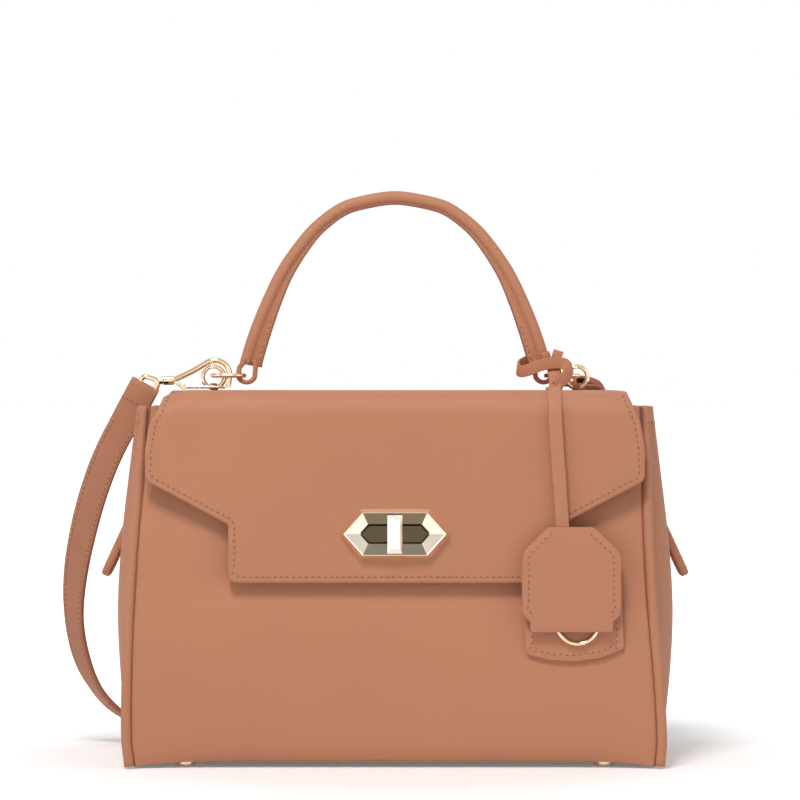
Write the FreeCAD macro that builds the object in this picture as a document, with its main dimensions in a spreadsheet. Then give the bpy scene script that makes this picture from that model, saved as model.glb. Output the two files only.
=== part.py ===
import FreeCAD, Part
import math
import os

os.makedirs("parts", exist_ok=True)
doc = FreeCAD.newDocument("top_handle_bag")
Vector = FreeCAD.Vector

# Driving dimensions in millimetres.
SIZES = [
    ("half_width", 130.0),
    ("half_depth", 58.0),
    ("top_depth_share", 0.702),
    ("body_height", 180.0),
    ("base_level", 4.5),
    ("leather", 2.0),
    ("lining_leather", 0.8),
    ("base_leather", 1.5),
    ("board_thickness", 2.0),
    ("board_margin", 7.0),
    ("foot_radius", 5.5),
    ("foot_height", 3.0),
    ("foot_inset_x", 25.0),
    ("foot_inset_y", 18.0),
    ("washer_radius", 4.0),
    ("washer_height", 1.0),
    ("welt_radius", 2.4),
    ("welt_set", 0.7),
    ("hinge_inset", 1.116),
    ("hinge_rise", 6.4),
    ("roll_radius", 1.6),
    ("hinge_gap", 0.3),
    ("flap_outer_leather", 1.8),
    ("flap_inner_leather", 1.4),
    ("flap_set_back", 2.0),
    ("flap_lean_share", 0.2889),
    ("tongue_rest_share", 0.5111111111111),
    ("flap_bend", 13.0),
    ("flap_half_top", 116.0),
    ("flap_spread", 8.3),
    ("flap_half_tongue", 83.0),
    ("flap_side_drop", 45.0),
    ("flap_step_drop", 67.0),
    ("flap_tongue_drop", 96.0),
    ("flap_corner", 4.0),
    ("flap_inset", 0.6),
    ("lock_drop", 71.5),
    ("lock_half_x", 27.3),
    ("lock_half_z", 12.3),
    ("lock_flat_x", 17.0),
    ("ridge_half_x", 25.5),
    ("ridge_half_z", 10.6),
    ("ridge_flat_x", 16.0),
    ("window_half_x", 16.9),
    ("window_half_z", 4.4),
    ("window_flat_x", 13.2),
    ("lock_depth", 3.6),
    ("lock_wall", 1.2),
    ("lock_bowl", 2.4),
    ("lock_gap", 0.4),
    ("boss_rise", 2.4),
    ("knob_half_x", 3.7),
    ("knob_half_z", 9.6),
    ("knob_gap", 0.2),
    ("knob_depth", 3.4),
    ("knob_bevel", 1.2),
    ("knob_undercut", 3.1),
    ("pivot_radius", 1.4),
    ("plate_half_x", 17.0),
    ("plate_half_z", 8.0),
    ("plate_thickness", 1.2),
    ("screw_x", 22.3),
    ("screw_radius", 1.1),
    ("handle_y", -8.0),
    ("handle_rise", 83.4),
    ("handle_radius", 3.0),
    ("core_radius", 2.0),
    ("flange_half", 1.3),
    ("flange_depth", 8.0),
    ("swing_rise", 7.5),
    ("loop_inset", 40.0),
    ("loop_half_x", 5.6),
    ("loop_bottom_rise", 2.9),
    ("loop_top_rise", 15.4),
    ("loop_leather", 1.6),
    ("loop_half_y", 3.9),
    ("link_inset", 30.8),
    ("link_end_radius", 6.2),
    ("link_straight", 4.0),
    ("link_wire", 1.1),
    ("ring_inset", 23.0),
    ("ring_radius", 5.5),
    ("ring_wire", 1.1),
    ("tab_half_x", 1.8),
    ("tab_half_y", 8.0),
    ("tab_leather", 0.9),
    ("tab_bore", 1.5),
    ("ring_shift", 2.4),
    ("ring_seat", 0.15),
    ("hook_length", 20.5),
    ("hook_height", 7.8),
    ("hook_wire", 1.4),
    ("hook_side", 1.4),
    ("gate_wire", 1.1),
    ("gate_start", 15.0),
    ("gate_end", 6.4),
    ("gate_drop", 5.9),
    ("gate_pin_radius", 0.6),
    ("gate_pin_length", 4.2),
    ("gate_eye", 1.6),
    ("barrel_radius", 2.3),
    ("barrel_lap", 0.5),
    ("barrel_length", 5.0),
    ("barrel_drop", 2.5),
    ("swivel_gap", 0.3),
    ("collar_length", 2.0),
    ("eye_half", 8.4),
    ("eye_reach", 9.0),
    ("eye_wire", 1.3),
    ("strap_width", 15.0),
    ("strap_leather", 2.6),
    ("strap_reach", 100.0),
    ("fold_length", 8.0),
    ("tag_half_width", 25.0),
    ("tag_half_height", 35.0),
    ("tag_offset", 11.0),
    ("tag_drop", 103.0),
    ("tag_gap", 0.3),
    ("tag_leather", 1.6),
    ("tag_strap_width", 6.6),
    ("tag_strap_leather", 1.5),
    ("tag_strap_offset", 3.5),
    ("tag_strap_lean", 6.0),
    ("right_hook_inset", 31.4),
    ("right_hook_y", 10.2),
    ("tag_pivot_drop", 17.0),
    ("key_radius", 10.4),
    ("key_wire", 1.1),
    ("key_drop", 12.5),
    ("key_offset", 3.5),
    ("hitch_leather", 1.2),
    ("hitch_height", 6.2),
    ("hitch_gap", 0.1),
    ("facing_width", 14.0),
    ("facing_leather", 1.2),
    ("facing_half_x", 97.0),
    ("facing_drop", 9.0),
    ("tape_width", 7.0),
    ("tape_thickness", 0.8),
    ("bead_radius", 1.1),
    ("slider_length", 9.0),
    ("slider_width", 7.0),
    ("slider_height", 3.0),
    ("pull_length", 22.0),
    ("pull_width", 5.0),
    ("pull_thickness", 1.2),
    ("tail_half_y", 9.5),
    ("tail_leather", 1.6),
    ("tab_end_leather", 1.4),
    ("pocket_half_x", 70.0),
    ("pocket_height", 90.0),
    ("pocket_bottom_z", 40.0),
    ("pocket_leather", 0.8),
]

# Places and sizes that follow from the driving dimensions.
DERIVED = [
    ("hinge_y", "=half_depth * top_depth_share - hinge_inset"),
    ("hinge_z", "=body_height + hinge_rise"),
    ("flap_top_z", "=hinge_z + roll_radius"),
    ("foot_x", "=half_width - foot_inset_x"),
    ("foot_y", "=half_depth - foot_inset_y"),
    ("flap_half_side", "=flap_half_top + flap_spread"),
    ("flap_side_z", "=flap_top_z - flap_side_drop"),
    ("flap_step_z", "=flap_top_z - flap_step_drop"),
    ("flap_tongue_z", "=flap_top_z - flap_tongue_drop"),
    ("flap_lean", "=half_depth * flap_lean_share * (tongue_rest_share - flap_tongue_z / body_height)"),
    ("flap_front_y", "=half_depth - flap_set_back + flap_lean"),
    ("lock_z", "=flap_top_z - lock_drop"),
    ("boss_front_y", "=flap_front_y + boss_rise"),
    ("swing_z", "=flap_top_z + swing_rise"),
    ("loop_x", "=flap_half_top - loop_inset"),
    ("loop_bottom_z", "=flap_top_z + loop_bottom_rise"),
    ("loop_top_z", "=flap_top_z + loop_top_rise"),
    ("link_x", "=flap_half_top - link_inset"),
    ("ring_x", "=flap_half_top - ring_inset"),
    ("barrel_start", "=hook_length - barrel_lap"),
    ("right_hook_x", "=flap_half_top - right_hook_inset"),
    ("tag_x", "=loop_x + tag_offset"),
    ("tag_z", "=flap_top_z - tag_drop"),
    ("tag_strap_x", "=loop_x + tag_strap_offset"),
    ("tag_pivot_z", "=flap_top_z - tag_pivot_drop"),
    ("key_x", "=tag_x + key_offset"),
    ("key_z", "=tag_z - key_drop"),
    ("tag_strap_end_z", "=key_z + key_radius + key_wire + knob_gap"),
    ("facing_z", "=body_height - facing_drop"),
]

sheet = doc.addObject("Spreadsheet::Sheet", "sizes")
for row, (name, value) in enumerate(SIZES + DERIVED, 1):
    sheet.set("A%d" % row, name)
    sheet.set("B%d" % row, str(value))
    sheet.setAlias("B%d" % row, name)
doc.recompute()

EXPORTS = []


def size(name):
    """Return one driving dimension from the sheet."""
    return float(sheet.get(name))


def keep(label, item):
    """Give an object its label and put it on the export list."""
    item.Label = label
    EXPORTS.append(item)
    return item


def feature(label, shape, exported=True):
    """Hold a shape worked out from the sheet."""
    item = doc.addObject("Part::Feature", label + "_form")
    item.Shape = shape
    item.Placement = FreeCAD.Placement()
    if exported:
        keep(label, item)
    return item


def bound(kind, label, exported=True, **formulas):
    """Make a primitive whose properties follow formulas on the sheet."""
    item = doc.addObject("Part::" + kind, label + "_form")
    paths = {"x": "Placement.Base.x", "y": "Placement.Base.y", "z": "Placement.Base.z"}
    for name, formula in formulas.items():
        item.setExpression(paths.get(name, name), formula)
    if exported:
        keep(label, item)
    return item


def joined(kind, label, items, exported=True):
    """Make a boolean of objects in the document."""
    item = doc.addObject("Part::" + kind, label + "_form")
    if kind == "Cut":
        item.Base = items[0]
        item.Tool = items[1]
    elif kind == "Compound":
        item.Links = items
    else:
        item.Shapes = items
    if exported:
        keep(label, item)
    return item


def polygon(points):
    """Return a closed wire through points."""
    return Part.makePolygon(list(points) + [points[0]])


def rounded(points, radii):
    """Return a closed planar wire whose corners are tangent arcs."""
    count = len(points)
    edges = []
    starts = []
    ends = []
    middles = []
    for index in range(count):
        here = points[index]
        before = (points[index - 1] - here)
        after = (points[(index + 1) % count] - here)
        reach_before = before.Length
        reach_after = after.Length
        before.normalize()
        after.normalize()
        half = before.getAngle(after) / 2.0
        set_back = radii[index] / math.tan(half)
        set_back = min(set_back, reach_before * 0.48, reach_after * 0.48)
        radius = set_back * math.tan(half)
        bisector = before + after
        bisector.normalize()
        centre = here + bisector * (radius / math.sin(half))
        starts.append(here + before * set_back)
        ends.append(here + after * set_back)
        middles.append(centre - bisector * radius)
    for index in range(count):
        edges.append(Part.Arc(starts[index], middles[index], ends[index]).toShape())
        follower = starts[(index + 1) % count]
        if (follower - ends[index]).Length > size("swivel_gap") / 1000.0:
            edges.append(Part.makeLine(ends[index], follower))
    return Part.Wire(edges)


def smooth_tube(points, radius):
    """Return a round tube along a smooth curve through points."""
    curve = Part.BSplineCurve()
    curve.interpolate(points)
    path = Part.Wire([curve.toShape()])
    tangent = curve.tangent(curve.FirstParameter)[0]
    ring = Part.Wire([Part.makeCircle(radius, points[0], tangent)])
    return path.makePipeShell([ring], True, False)


def closed_tube(path, start, direction, radius):
    """Return a round tube along a closed wire."""
    ring = Part.Wire([Part.makeCircle(radius, start, direction)])
    return path.makePipeShell([ring], True, True)


def strip_faces(points, thickness):
    """Return the outline of a strip of even thickness along a line of points."""
    near = []
    far = []
    last = len(points) - 1
    for index, here in enumerate(points):
        before = here - points[max(index - 1, 0)]
        after = points[min(index + 1, last)] - here
        along = Vector(0, 0, 0)
        for step in (before, after):
            if step.Length > 0:
                along = along + step / step.Length
        along.normalize()
        across = Vector(-along.z, 0, along.x)
        single = after if after.Length > 0 else before
        stretch = abs(across.dot(Vector(-single.z, 0, single.x) / single.Length))
        reach = across * (thickness / 2.0 / stretch)
        near.append(here + reach)
        far.append(here - reach)
    return near + far[::-1]


# Body: levels from the base up, as shares of the body height, half width and half depth.
level_shares = [
    (0.0, 1.0, 1.0, 1.0154, 1.0154),
    (0.0598, 1.0115, 1.0, 1.0385, 1.0423),
    (0.2308, 1.0115, 0.974, 1.0654, 1.0692),
    (0.4302, 1.0038, 0.924, 1.0769, 1.0654),
    (0.6353, 0.9885, 0.860, 1.0615, 1.0038),
    (0.8291, 0.9654, 0.783, 1.0308, 0.9),
    (1.0, 0.95, size("top_depth_share"), 1.0, 0.8154),
]
bulge_share = 0.55


def levels():
    """Return (z, seam x, seam y, bulge x, valley x) for each level."""
    rise = size("body_height") - size("base_level")
    wide = size("half_width")
    deep = size("half_depth")
    rows = []
    for z_share, x_share, y_share, bulge, valley in level_shares:
        z = size("base_level") + z_share * rise
        rows.append((z, x_share * wide, y_share * deep, bulge * wide, valley * wide))
    return rows


def depth_at(z):
    """Return how far the panel's outer face lies from the middle at a height."""
    rows = levels()
    for low, high in zip(rows, rows[1:]):
        if z <= high[0]:
            share = (z - low[0]) / (high[0] - low[0])
            return low[2] + share * (high[2] - low[2])
    return rows[-1][2]


def panel_shape(side):
    """Return the front (-1) or back (+1) panel."""
    wires = []
    for z, x, y, bulge, valley in levels():
        outer = side * y
        inner = side * (y - size("leather"))
        corners = [Vector(-x, outer, z), Vector(x, outer, z), Vector(x, inner, z), Vector(-x, inner, z)]
        wires.append(polygon(corners))
    return Part.makeLoft(wires, True, True)


def gusset_line(row, inset):
    """Return the five points of a gusset's section, front seam to back seam."""
    z, x, y, bulge, valley = row
    seam = y - size("leather")
    belly = y * bulge_share
    return [
        Vector(x - inset, -seam, z),
        Vector(bulge - inset, -belly, z),
        Vector(valley - inset, 0, z),
        Vector(bulge - inset, belly, z),
        Vector(x - inset, seam, z),
    ]


def gusset_shape():
    """Return the right gusset."""
    wires = []
    for row in levels():
        outer = gusset_line(row, 0)
        inner = gusset_line(row, size("leather"))
        wires.append(polygon(outer + inner[::-1]))
    return Part.makeLoft(wires, True, True)


def mirrored(shape):
    """Return a shape mirrored left to right."""
    return shape.mirror(Vector(0, 0, 0), Vector(1, 0, 0))


def room_shape(skin):
    """Return the space inside the leather, drawn in by a skin thickness."""
    wires = []
    for row in levels():
        right = gusset_line(row, size("leather") + skin)
        right[0].y += skin
        right[-1].y -= skin
        left = [Vector(-point.x, point.y, point.z) for point in right[::-1]]
        wires.append(polygon(right + left))
    return Part.makeLoft(wires, True, True)


def slab(x0, x1, y0, y1, z0, z1):
    """Return a box between corner values."""
    return Part.makeBox(x1 - x0, y1 - y0, z1 - z0, Vector(x0, y0, z0))


front_panel = panel_shape(-1)
back_panel = panel_shape(1)
right_gusset = gusset_shape()
left_gusset = mirrored(right_gusset)
room = room_shape(0.0)
clear_room = room_shape(size("lining_leather"))

base_z = size("base_level") - size("base_leather")
wide = size("half_width")
deep = size("half_depth")
board_top = size("base_level") + size("board_thickness")

bound("Box", "base_panel", x="-sizes.half_width", y="-sizes.half_depth", z="sizes.base_level - sizes.base_leather",
      Length="2 * sizes.half_width", Width="2 * sizes.half_depth", Height="sizes.base_leather")
bound("Box", "base_board", x="-sizes.half_width + sizes.board_margin", y="-sizes.half_depth + sizes.board_margin",
      z="sizes.base_level", Length="2 * (sizes.half_width - sizes.board_margin)",
      Width="2 * (sizes.half_depth - sizes.board_margin)", Height="sizes.board_thickness")

floor_sheet = clear_room.common(slab(-2 * wide, 2 * wide, -deep, deep, board_top,
                                     board_top + size("lining_leather")))
lining_shape = room.cut(clear_room).fuse(floor_sheet)

feet = []
washers = []
for sign_x in ("-", ""):
    for sign_y in ("-", ""):
        mark = "foot%d" % len(feet)
        feet.append(bound("Cylinder", mark, False, x=sign_x + "sizes.foot_x", y=sign_y + "sizes.foot_y",
                          z="sizes.base_level - sizes.base_leather - sizes.foot_height",
                          Radius="sizes.foot_radius", Height="sizes.foot_height"))
        washers.append(bound("Cylinder", "washer%d" % len(washers), False, x=sign_x + "sizes.foot_x",
                             y=sign_y + "sizes.foot_y",
                             z="sizes.base_level + sizes.board_thickness + sizes.lining_leather",
                             Radius="sizes.washer_radius", Height="sizes.washer_height"))
joined("Compound", "base_feet", feet)
joined("Compound", "foot_washers", washers)


def welt_shape(side):
    """Return both piped edges of the front (-1) or back (+1) panel."""
    points = []
    for z, x, y, bulge, valley in levels():
        points.append(Vector(x + size("welt_set"), side * (y - size("welt_set")), z))
    tube = smooth_tube(points, size("welt_radius"))
    floor_z = size("base_level")
    tube = tube.cut(slab(-2 * wide, 2 * wide, -2 * deep, 2 * deep, -floor_z, floor_z))
    tube = tube.cut(front_panel if side < 0 else back_panel).cut(right_gusset).cut(room)
    pieces = sorted(tube.Solids, key=lambda piece: piece.Volume)
    return Part.makeCompound([pieces[-1], mirrored(pieces[-1])])


front_welt = welt_shape(-1)
back_welt = welt_shape(1)
feature("front_welt", front_welt)
feature("back_welt", back_welt)
feature("left_gusset", left_gusset)
feature("right_gusset", right_gusset)
feature("lining", lining_shape)


def lined_sheet(half_x, low, high, side, thickness):
    """Return a sheet lying against the lining's front (-1) or back (+1) wall."""
    block = slab(-half_x, half_x, -deep * (side < 0), deep * (side > 0), low, high)
    sheet_shape = clear_room.common(block)
    moved = clear_room.copy()
    moved.translate(Vector(0, -side * thickness, 0))
    return sheet_shape.cut(moved)


pocket_low = size("pocket_bottom_z")
feature("inner_pocket", lined_sheet(size("pocket_half_x"), pocket_low, pocket_low + size("pocket_height"), 1,
                                    size("pocket_leather")))
feature("lock_boss_plate", lined_sheet(size("plate_half_x"), size("lock_z") - size("plate_half_z"),
                                       size("lock_z") + size("plate_half_z"), -1, size("plate_thickness")))

# Zip: facings on the lining, tapes with their coil, slider parked at the left end.
facing_z = size("facing_z")
facing_top = facing_z + size("facing_leather")
facing_edge = depth_at(facing_z) - size("leather") - size("lining_leather") - size("facing_width")
half = size("facing_half_x")
for side, name in ((-1, "front"), (1, "back")):
    block = slab(-half, half, min(side * deep, side * facing_edge), max(side * deep, side * facing_edge),
                 facing_z, facing_top)
    feature(name + "_zip_facing", clear_room.common(block))
    near = side * (facing_edge - size("tape_width") / 2.0)
    far = side * (facing_edge + size("tape_width") / 2.0)
    tape = slab(-half, half, min(near, far), max(near, far), facing_top, facing_top + size("tape_thickness"))
    bead_z = facing_top + size("tape_thickness") / 2.0
    bead = Part.makeCylinder(size("bead_radius"), 2 * half, Vector(-half, near, bead_z), Vector(1, 0, 0))
    tape = tape.fuse(bead)
    feature(name + "_zip_tape", tape)
    if side < 0:
        bead_y = near
        front_tape = tape

slider_x = -half + size("slider_length")
slider_box = slab(slider_x, slider_x + size("slider_length"), bead_y - size("slider_width") / 2.0,
                  bead_y + size("slider_width") / 2.0, bead_z - size("slider_height") / 2.0,
                  bead_z + size("slider_height") / 2.0)
slider_shape = slider_box.cut(front_tape)
slider_shape = sorted(slider_shape.Solids, key=lambda piece: piece.Volume)[-1]
feature("zip_slider", slider_shape)
pull_y = bead_y + size("slider_width") / 2.0 + size("swivel_gap")
pull_x = slider_x + size("slider_length") / 2.0
pull_top = bead_z + size("slider_height") / 2.0
pull = slab(pull_x - size("pull_width") / 2.0, pull_x + size("pull_width") / 2.0, pull_y,
            pull_y + size("pull_thickness"), pull_top - size("pull_length"), pull_top)
feature("zip_pull", pull)
print("zip pull pivot", pull_x, pull_y + size("pull_thickness") / 2.0, pull_top)

# Zip tails run over the gusset's fold and hang outside it; shares of half width and body height.
tail_shares = [(0.735, 0.957), (0.79, 1.0125), (0.9, 1.0125), (0.978, 0.835), (1.045, 0.67), (1.09, 0.585)]
tab_end_shares = [(1.045, 0.67), (1.1435, 0.517)]


def tail_strip(shares, thickness, half_y):
    """Return a strip along a line in the XZ plane."""
    points = [Vector(x * wide, 0, z * size("body_height")) for x, z in shares]
    outline = strip_faces(points, thickness)
    face = Part.Face(polygon(outline))
    solid = face.extrude(Vector(0, 2 * half_y, 0))
    solid.translate(Vector(0, -half_y, 0))
    return solid


tail = tail_strip(tail_shares, size("tail_leather"), size("tail_half_y"))
tab_thick = size("tail_leather") + 2 * size("tab_end_leather")
tab_end = tail_strip(tab_end_shares, tab_thick, size("tail_half_y") + size("tab_end_leather"))
corner_edges = [edge for edge in tab_end.Edges if abs(edge.Length - tab_thick) < size("swivel_gap")]
low_edges = sorted(corner_edges, key=lambda edge: edge.CenterOfMass.z)[:2]
tab_end = tab_end.makeFillet(size("tail_half_y") / 2.0, low_edges)
tail = tail.cut(tab_end)
tail = sorted(tail.Solids, key=lambda piece: piece.Volume)[-1]
feature("zip_tails", Part.makeCompound([tail, mirrored(tail)]))
feature("zip_end_tabs", Part.makeCompound([tab_end, mirrored(tab_end)]))

# Flap: two leather layers bent over the mouth, cut to the front outline.
flap_top = size("flap_top_z")
flap_depth = size("flap_outer_leather") + size("flap_inner_leather")
front_y = size("flap_front_y")
far_x = 2 * size("flap_half_side")


def flap_layer(near, far, x0, x1, low, back_y):
    """Return a bent sheet lying between two depths under the flap's outer face."""
    bend = size("flap_bend")
    turn = math.sqrt(0.5)
    centre_y = -front_y + bend
    centre_z = flap_top - bend
    lines = []
    for depth in (near, far):
        radius = bend - depth
        start = Vector(x0, back_y, flap_top - depth)
        top = Vector(x0, centre_y, flap_top - depth)
        middle = Vector(x0, centre_y - radius * turn, centre_z + radius * turn)
        front = Vector(x0, -front_y + depth, centre_z)
        end = Vector(x0, -front_y + depth, low)
        lines.append((start, top, middle, front, end))
    outer, inner = lines
    edges = [
        Part.makeLine(outer[0], outer[1]),
        Part.Arc(outer[1], outer[2], outer[3]).toShape(),
        Part.makeLine(outer[3], outer[4]),
        Part.makeLine(outer[4], inner[4]),
        Part.makeLine(inner[4], inner[3]),
        Part.Arc(inner[3], inner[2], inner[1]).toShape(),
        Part.makeLine(inner[1], inner[0]),
        Part.makeLine(inner[0], outer[0]),
    ]
    return Part.Face(Part.Wire(edges)).extrude(Vector(x1 - x0, 0, 0))


outline_shares = [(0.0, 1.2), (0.0, 0.99), (0.72, 0.844), (1.0, 0.6875)]


def flap_outline(inset):
    """Return a block with the flap's front outline, running through the depth."""
    rise = flap_top - size("flap_tongue_z")
    spread = size("flap_half_side") - size("flap_half_top")
    right = []
    radii = []
    for x_share, z_share in outline_shares:
        x = size("flap_half_top") + x_share * spread - inset
        right.append(Vector(x, -2 * front_y, size("flap_tongue_z") + z_share * rise))
        radii.append(size("flap_corner"))
    side = size("flap_half_side") - inset
    tongue = size("flap_half_tongue") - inset
    right.append(Vector(side, -2 * front_y, size("flap_side_z") - inset / 2.0))
    right.append(Vector(tongue, -2 * front_y, size("flap_step_z") + inset / 2.0))
    right.append(Vector(tongue, -2 * front_y, size("flap_tongue_z") + inset))
    radii += [size("flap_corner"), size("flap_corner") / 2.0, size("flap_corner")]
    left = [Vector(-point.x, point.y, point.z) for point in right[::-1]]
    wire = rounded(right + left, radii + radii[::-1])
    return Part.Face(wire).extrude(Vector(0, 4 * front_y, 0))


def hexagon(half_x, half_z, flat_x, y):
    """Return a long hexagon at a distance in front of the middle."""
    z = size("lock_z")
    return [
        Vector(half_x, -y, z),
        Vector(flat_x, -y, z + half_z),
        Vector(-flat_x, -y, z + half_z),
        Vector(-half_x, -y, z),
        Vector(-flat_x, -y, z - half_z),
        Vector(flat_x, -y, z - half_z),
    ]


def prism(points, depth):
    """Return a straight block from an outline towards the back."""
    return Part.Face(polygon(points)).extrude(Vector(0, depth, 0))


margin = size("lock_gap")
flap_hole = prism(hexagon(size("window_half_x") + 2 * margin, size("window_half_z") + margin,
                          size("window_flat_x") + margin, front_y + flap_depth), 3 * flap_depth)
screw_holes = []
for sign in (-1, 1):
    spot = Vector(sign * size("screw_x"), -front_y, size("lock_z"))
    screw_holes.append(Part.makeCylinder(size("screw_radius"), flap_depth + size("knob_gap") * 4, spot,
                                         Vector(0, 1, 0)))
roll = Part.makeCylinder(size("roll_radius"), 2 * size("flap_half_top"),
                         Vector(-size("flap_half_top"), size("hinge_y"), size("hinge_z")), Vector(1, 0, 0))
layers = []
for near, far, inset in ((0.0, size("flap_outer_leather"), 0.0),
                         (size("flap_outer_leather"), flap_depth, size("flap_inset"))):
    layer = flap_layer(near, far, -far_x, far_x, size("flap_tongue_z") - flap_depth, size("hinge_y"))
    layer = layer.common(flap_outline(inset))
    layer = layer.cut(flap_hole).cut(roll)
    for hole in screw_holes:
        layer = layer.cut(hole)
    layers.append(sorted(layer.Solids, key=lambda piece: piece.Volume)[-1])
feature("flap_outer", layers[0])
feature("flap_lining", layers[1])
bound("Cylinder", "flap_hinge_roll", x="-sizes.flap_half_top", y="sizes.hinge_y", z="sizes.hinge_z",
      Radius="sizes.roll_radius", Height="2 * sizes.flap_half_top")
doc.getObject("flap_hinge_roll_form").Placement.Rotation = FreeCAD.Rotation(Vector(0, 1, 0), 90)
strip_top = size("hinge_z") - size("roll_radius") - size("hinge_gap")
strip_out = depth_at(size("body_height"))
strip = slab(-size("flap_half_top"), size("flap_half_top"), strip_out - size("leather"), strip_out,
             size("body_height"), strip_top)
feature("hinge_strip", strip)

# Turn lock: faceted frame on the flap, boss on the panel, knob turning on the boss.
seat = front_y
shell_wires = [
    polygon(hexagon(size("lock_half_x"), size("lock_half_z"), size("lock_flat_x"), seat)),
    polygon(hexagon(size("lock_half_x"), size("lock_half_z"), size("lock_flat_x"), seat + size("lock_wall"))),
    polygon(hexagon(size("ridge_half_x"), size("ridge_half_z"), size("ridge_flat_x"), seat + size("lock_depth"))),
]
shell = Part.makeLoft(shell_wires, True, True)
rim = size("lock_gap")
bowl_wires = [
    polygon(hexagon(size("ridge_half_x") - 2 * rim, size("ridge_half_z") - rim, size("ridge_flat_x") - rim,
                    seat + size("lock_depth"))),
    polygon(hexagon(size("window_half_x"), size("window_half_z"), size("window_flat_x"),
                    seat + size("lock_depth") - size("lock_bowl"))),
]
bowl = Part.makeLoft(bowl_wires, True, True)
window = prism(hexagon(size("window_half_x"), size("window_half_z"), size("window_flat_x"),
                       seat + size("lock_depth")), 2 * size("lock_depth"))
feature("lock_frame", shell.cut(bowl).cut(window))

back_ring = prism(hexagon(size("lock_half_x") - size("lock_wall"), size("lock_half_z") - size("lock_wall"),
                          size("lock_flat_x") - rim, seat - flap_depth), 4 * size("knob_gap"))
back_ring = back_ring.cut(flap_hole)
for hole in screw_holes:
    back_ring = back_ring.cut(hole)
feature("lock_frame_back", back_ring)
feature("lock_frame_screws", Part.makeCompound(screw_holes))

boss_hex = hexagon(size("window_half_x") - margin, size("window_half_z") - margin, size("window_flat_x") - margin,
                   size("boss_front_y"))
boss_depth = size("boss_front_y") - depth_at(size("lock_z")) + size("leather") / 2.0
boss = prism(boss_hex, boss_depth).cut(front_panel)
boss = sorted(boss.Solids, key=lambda piece: piece.Volume)[-1]
boss_face = size("boss_front_y")
knob_back = boss_face + size("knob_gap")
knob_front = knob_back + size("knob_depth")
pivot = Part.makeCylinder(size("pivot_radius"), boss_face - depth_at(size("lock_z")) - 3 * size("knob_gap"),
                          Vector(0, -knob_back, size("lock_z")), Vector(0, 1, 0))
bore = Part.makeCylinder(size("pivot_radius") + size("knob_gap"), boss_face - depth_at(size("lock_z")) +
                         2 * size("knob_gap"), Vector(0, -knob_back, size("lock_z")), Vector(0, 1, 0))
boss = boss.cut(bore)
boss = sorted(boss.Solids, key=lambda piece: piece.Volume)[-1]
feature("lock_boss", boss)


def knob_ring(half_x, half_z, y):
    """Return a rectangle of the knob at a distance in front."""
    z = size("lock_z")
    return polygon([Vector(half_x, -y, z - half_z), Vector(half_x, -y, z + half_z),
                    Vector(-half_x, -y, z + half_z), Vector(-half_x, -y, z - half_z)])


bevel = size("knob_bevel")
knee = seat + size("lock_depth") + size("knob_gap")
knob = Part.makeLoft([
    knob_ring(size("knob_half_x"), size("knob_half_z") - size("knob_undercut"), knob_back),
    knob_ring(size("knob_half_x"), size("knob_half_z"), knee),
    knob_ring(size("knob_half_x"), size("knob_half_z"), knob_front - bevel),
    knob_ring(size("knob_half_x") - bevel, size("knob_half_z") - 2 * bevel, knob_front),
], True, True)
feature("turn_knob", knob.fuse(pivot))
print("lock axis", 0, -knob_front, size("lock_z"))

# Handle: hollow leather tube on a cord, inner flange, end loops and oval links.
handle_shares = [(0.0, 1.0), (0.204, 0.974), (0.349, 0.934), (0.495, 0.842), (0.599, 0.747), (0.749, 0.556),
                 (0.854, 0.365), (0.941, 0.169), (1.0, 0.0)]
flange_shares = [0.45, 0.45, 0.47, 0.5, 0.56, 0.68, 0.82, 0.95, 1.0]
handle_y = size("handle_y")


def handle_line(drop):
    """Return points along the handle, moved towards its inside by shares of a drop."""
    right = []
    for (x_share, z_share), inward in zip(handle_shares, flange_shares):
        x = x_share * size("loop_x")
        z = size("loop_top_z") + z_share * size("handle_rise")
        right.append(Vector(x, handle_y, z))
    moved = []
    for index, point in enumerate(right):
        before = right[max(index - 1, 0)]
        after = right[min(index + 1, len(right) - 1)]
        along = after - before
        if index == 0:
            along = Vector(1, 0, 0)
        along.normalize()
        inside = Vector(along.z, 0, -along.x)
        moved.append(point + inside * (drop * flange_shares[index]))
    left = [Vector(-point.x, point.y, point.z) for point in moved[:0:-1]]
    return left + moved


axis_points = handle_line(0.0)
tube = smooth_tube(axis_points, size("handle_radius"))
core = smooth_tube(axis_points, size("core_radius"))
upper = Part.BSplineCurve()
upper.interpolate(axis_points)
lower_points = handle_line(size("flange_depth"))
lower = Part.BSplineCurve()
lower.interpolate(lower_points)
flange_wire = Part.Wire([
    upper.toShape(),
    Part.makeLine(axis_points[-1], lower_points[-1]),
    lower.toShape(),
    Part.makeLine(lower_points[0], axis_points[0]),
])
flange = Part.Face(flange_wire).extrude(Vector(0, 2 * size("flange_half"), 0))
flange.translate(Vector(0, -size("flange_half"), 0))
flange = flange.cut(tube)
flange = sorted(flange.Solids, key=lambda piece: piece.Volume)[-1]
feature("handle_cover", tube.cut(core))
feature("handle_core", core)
feature("handle_flange", flange)


def racetrack(half_x, low, high, half_y):
    """Return a rounded block lying across the bag."""
    points = [Vector(-half_x, -half_y, low), Vector(half_x, -half_y, low), Vector(half_x, -half_y, high),
              Vector(-half_x, -half_y, high)]
    wire = rounded(points, [half_x * 0.8] * 4)
    return Part.Face(wire).extrude(Vector(0, 2 * half_y, 0))


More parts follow.
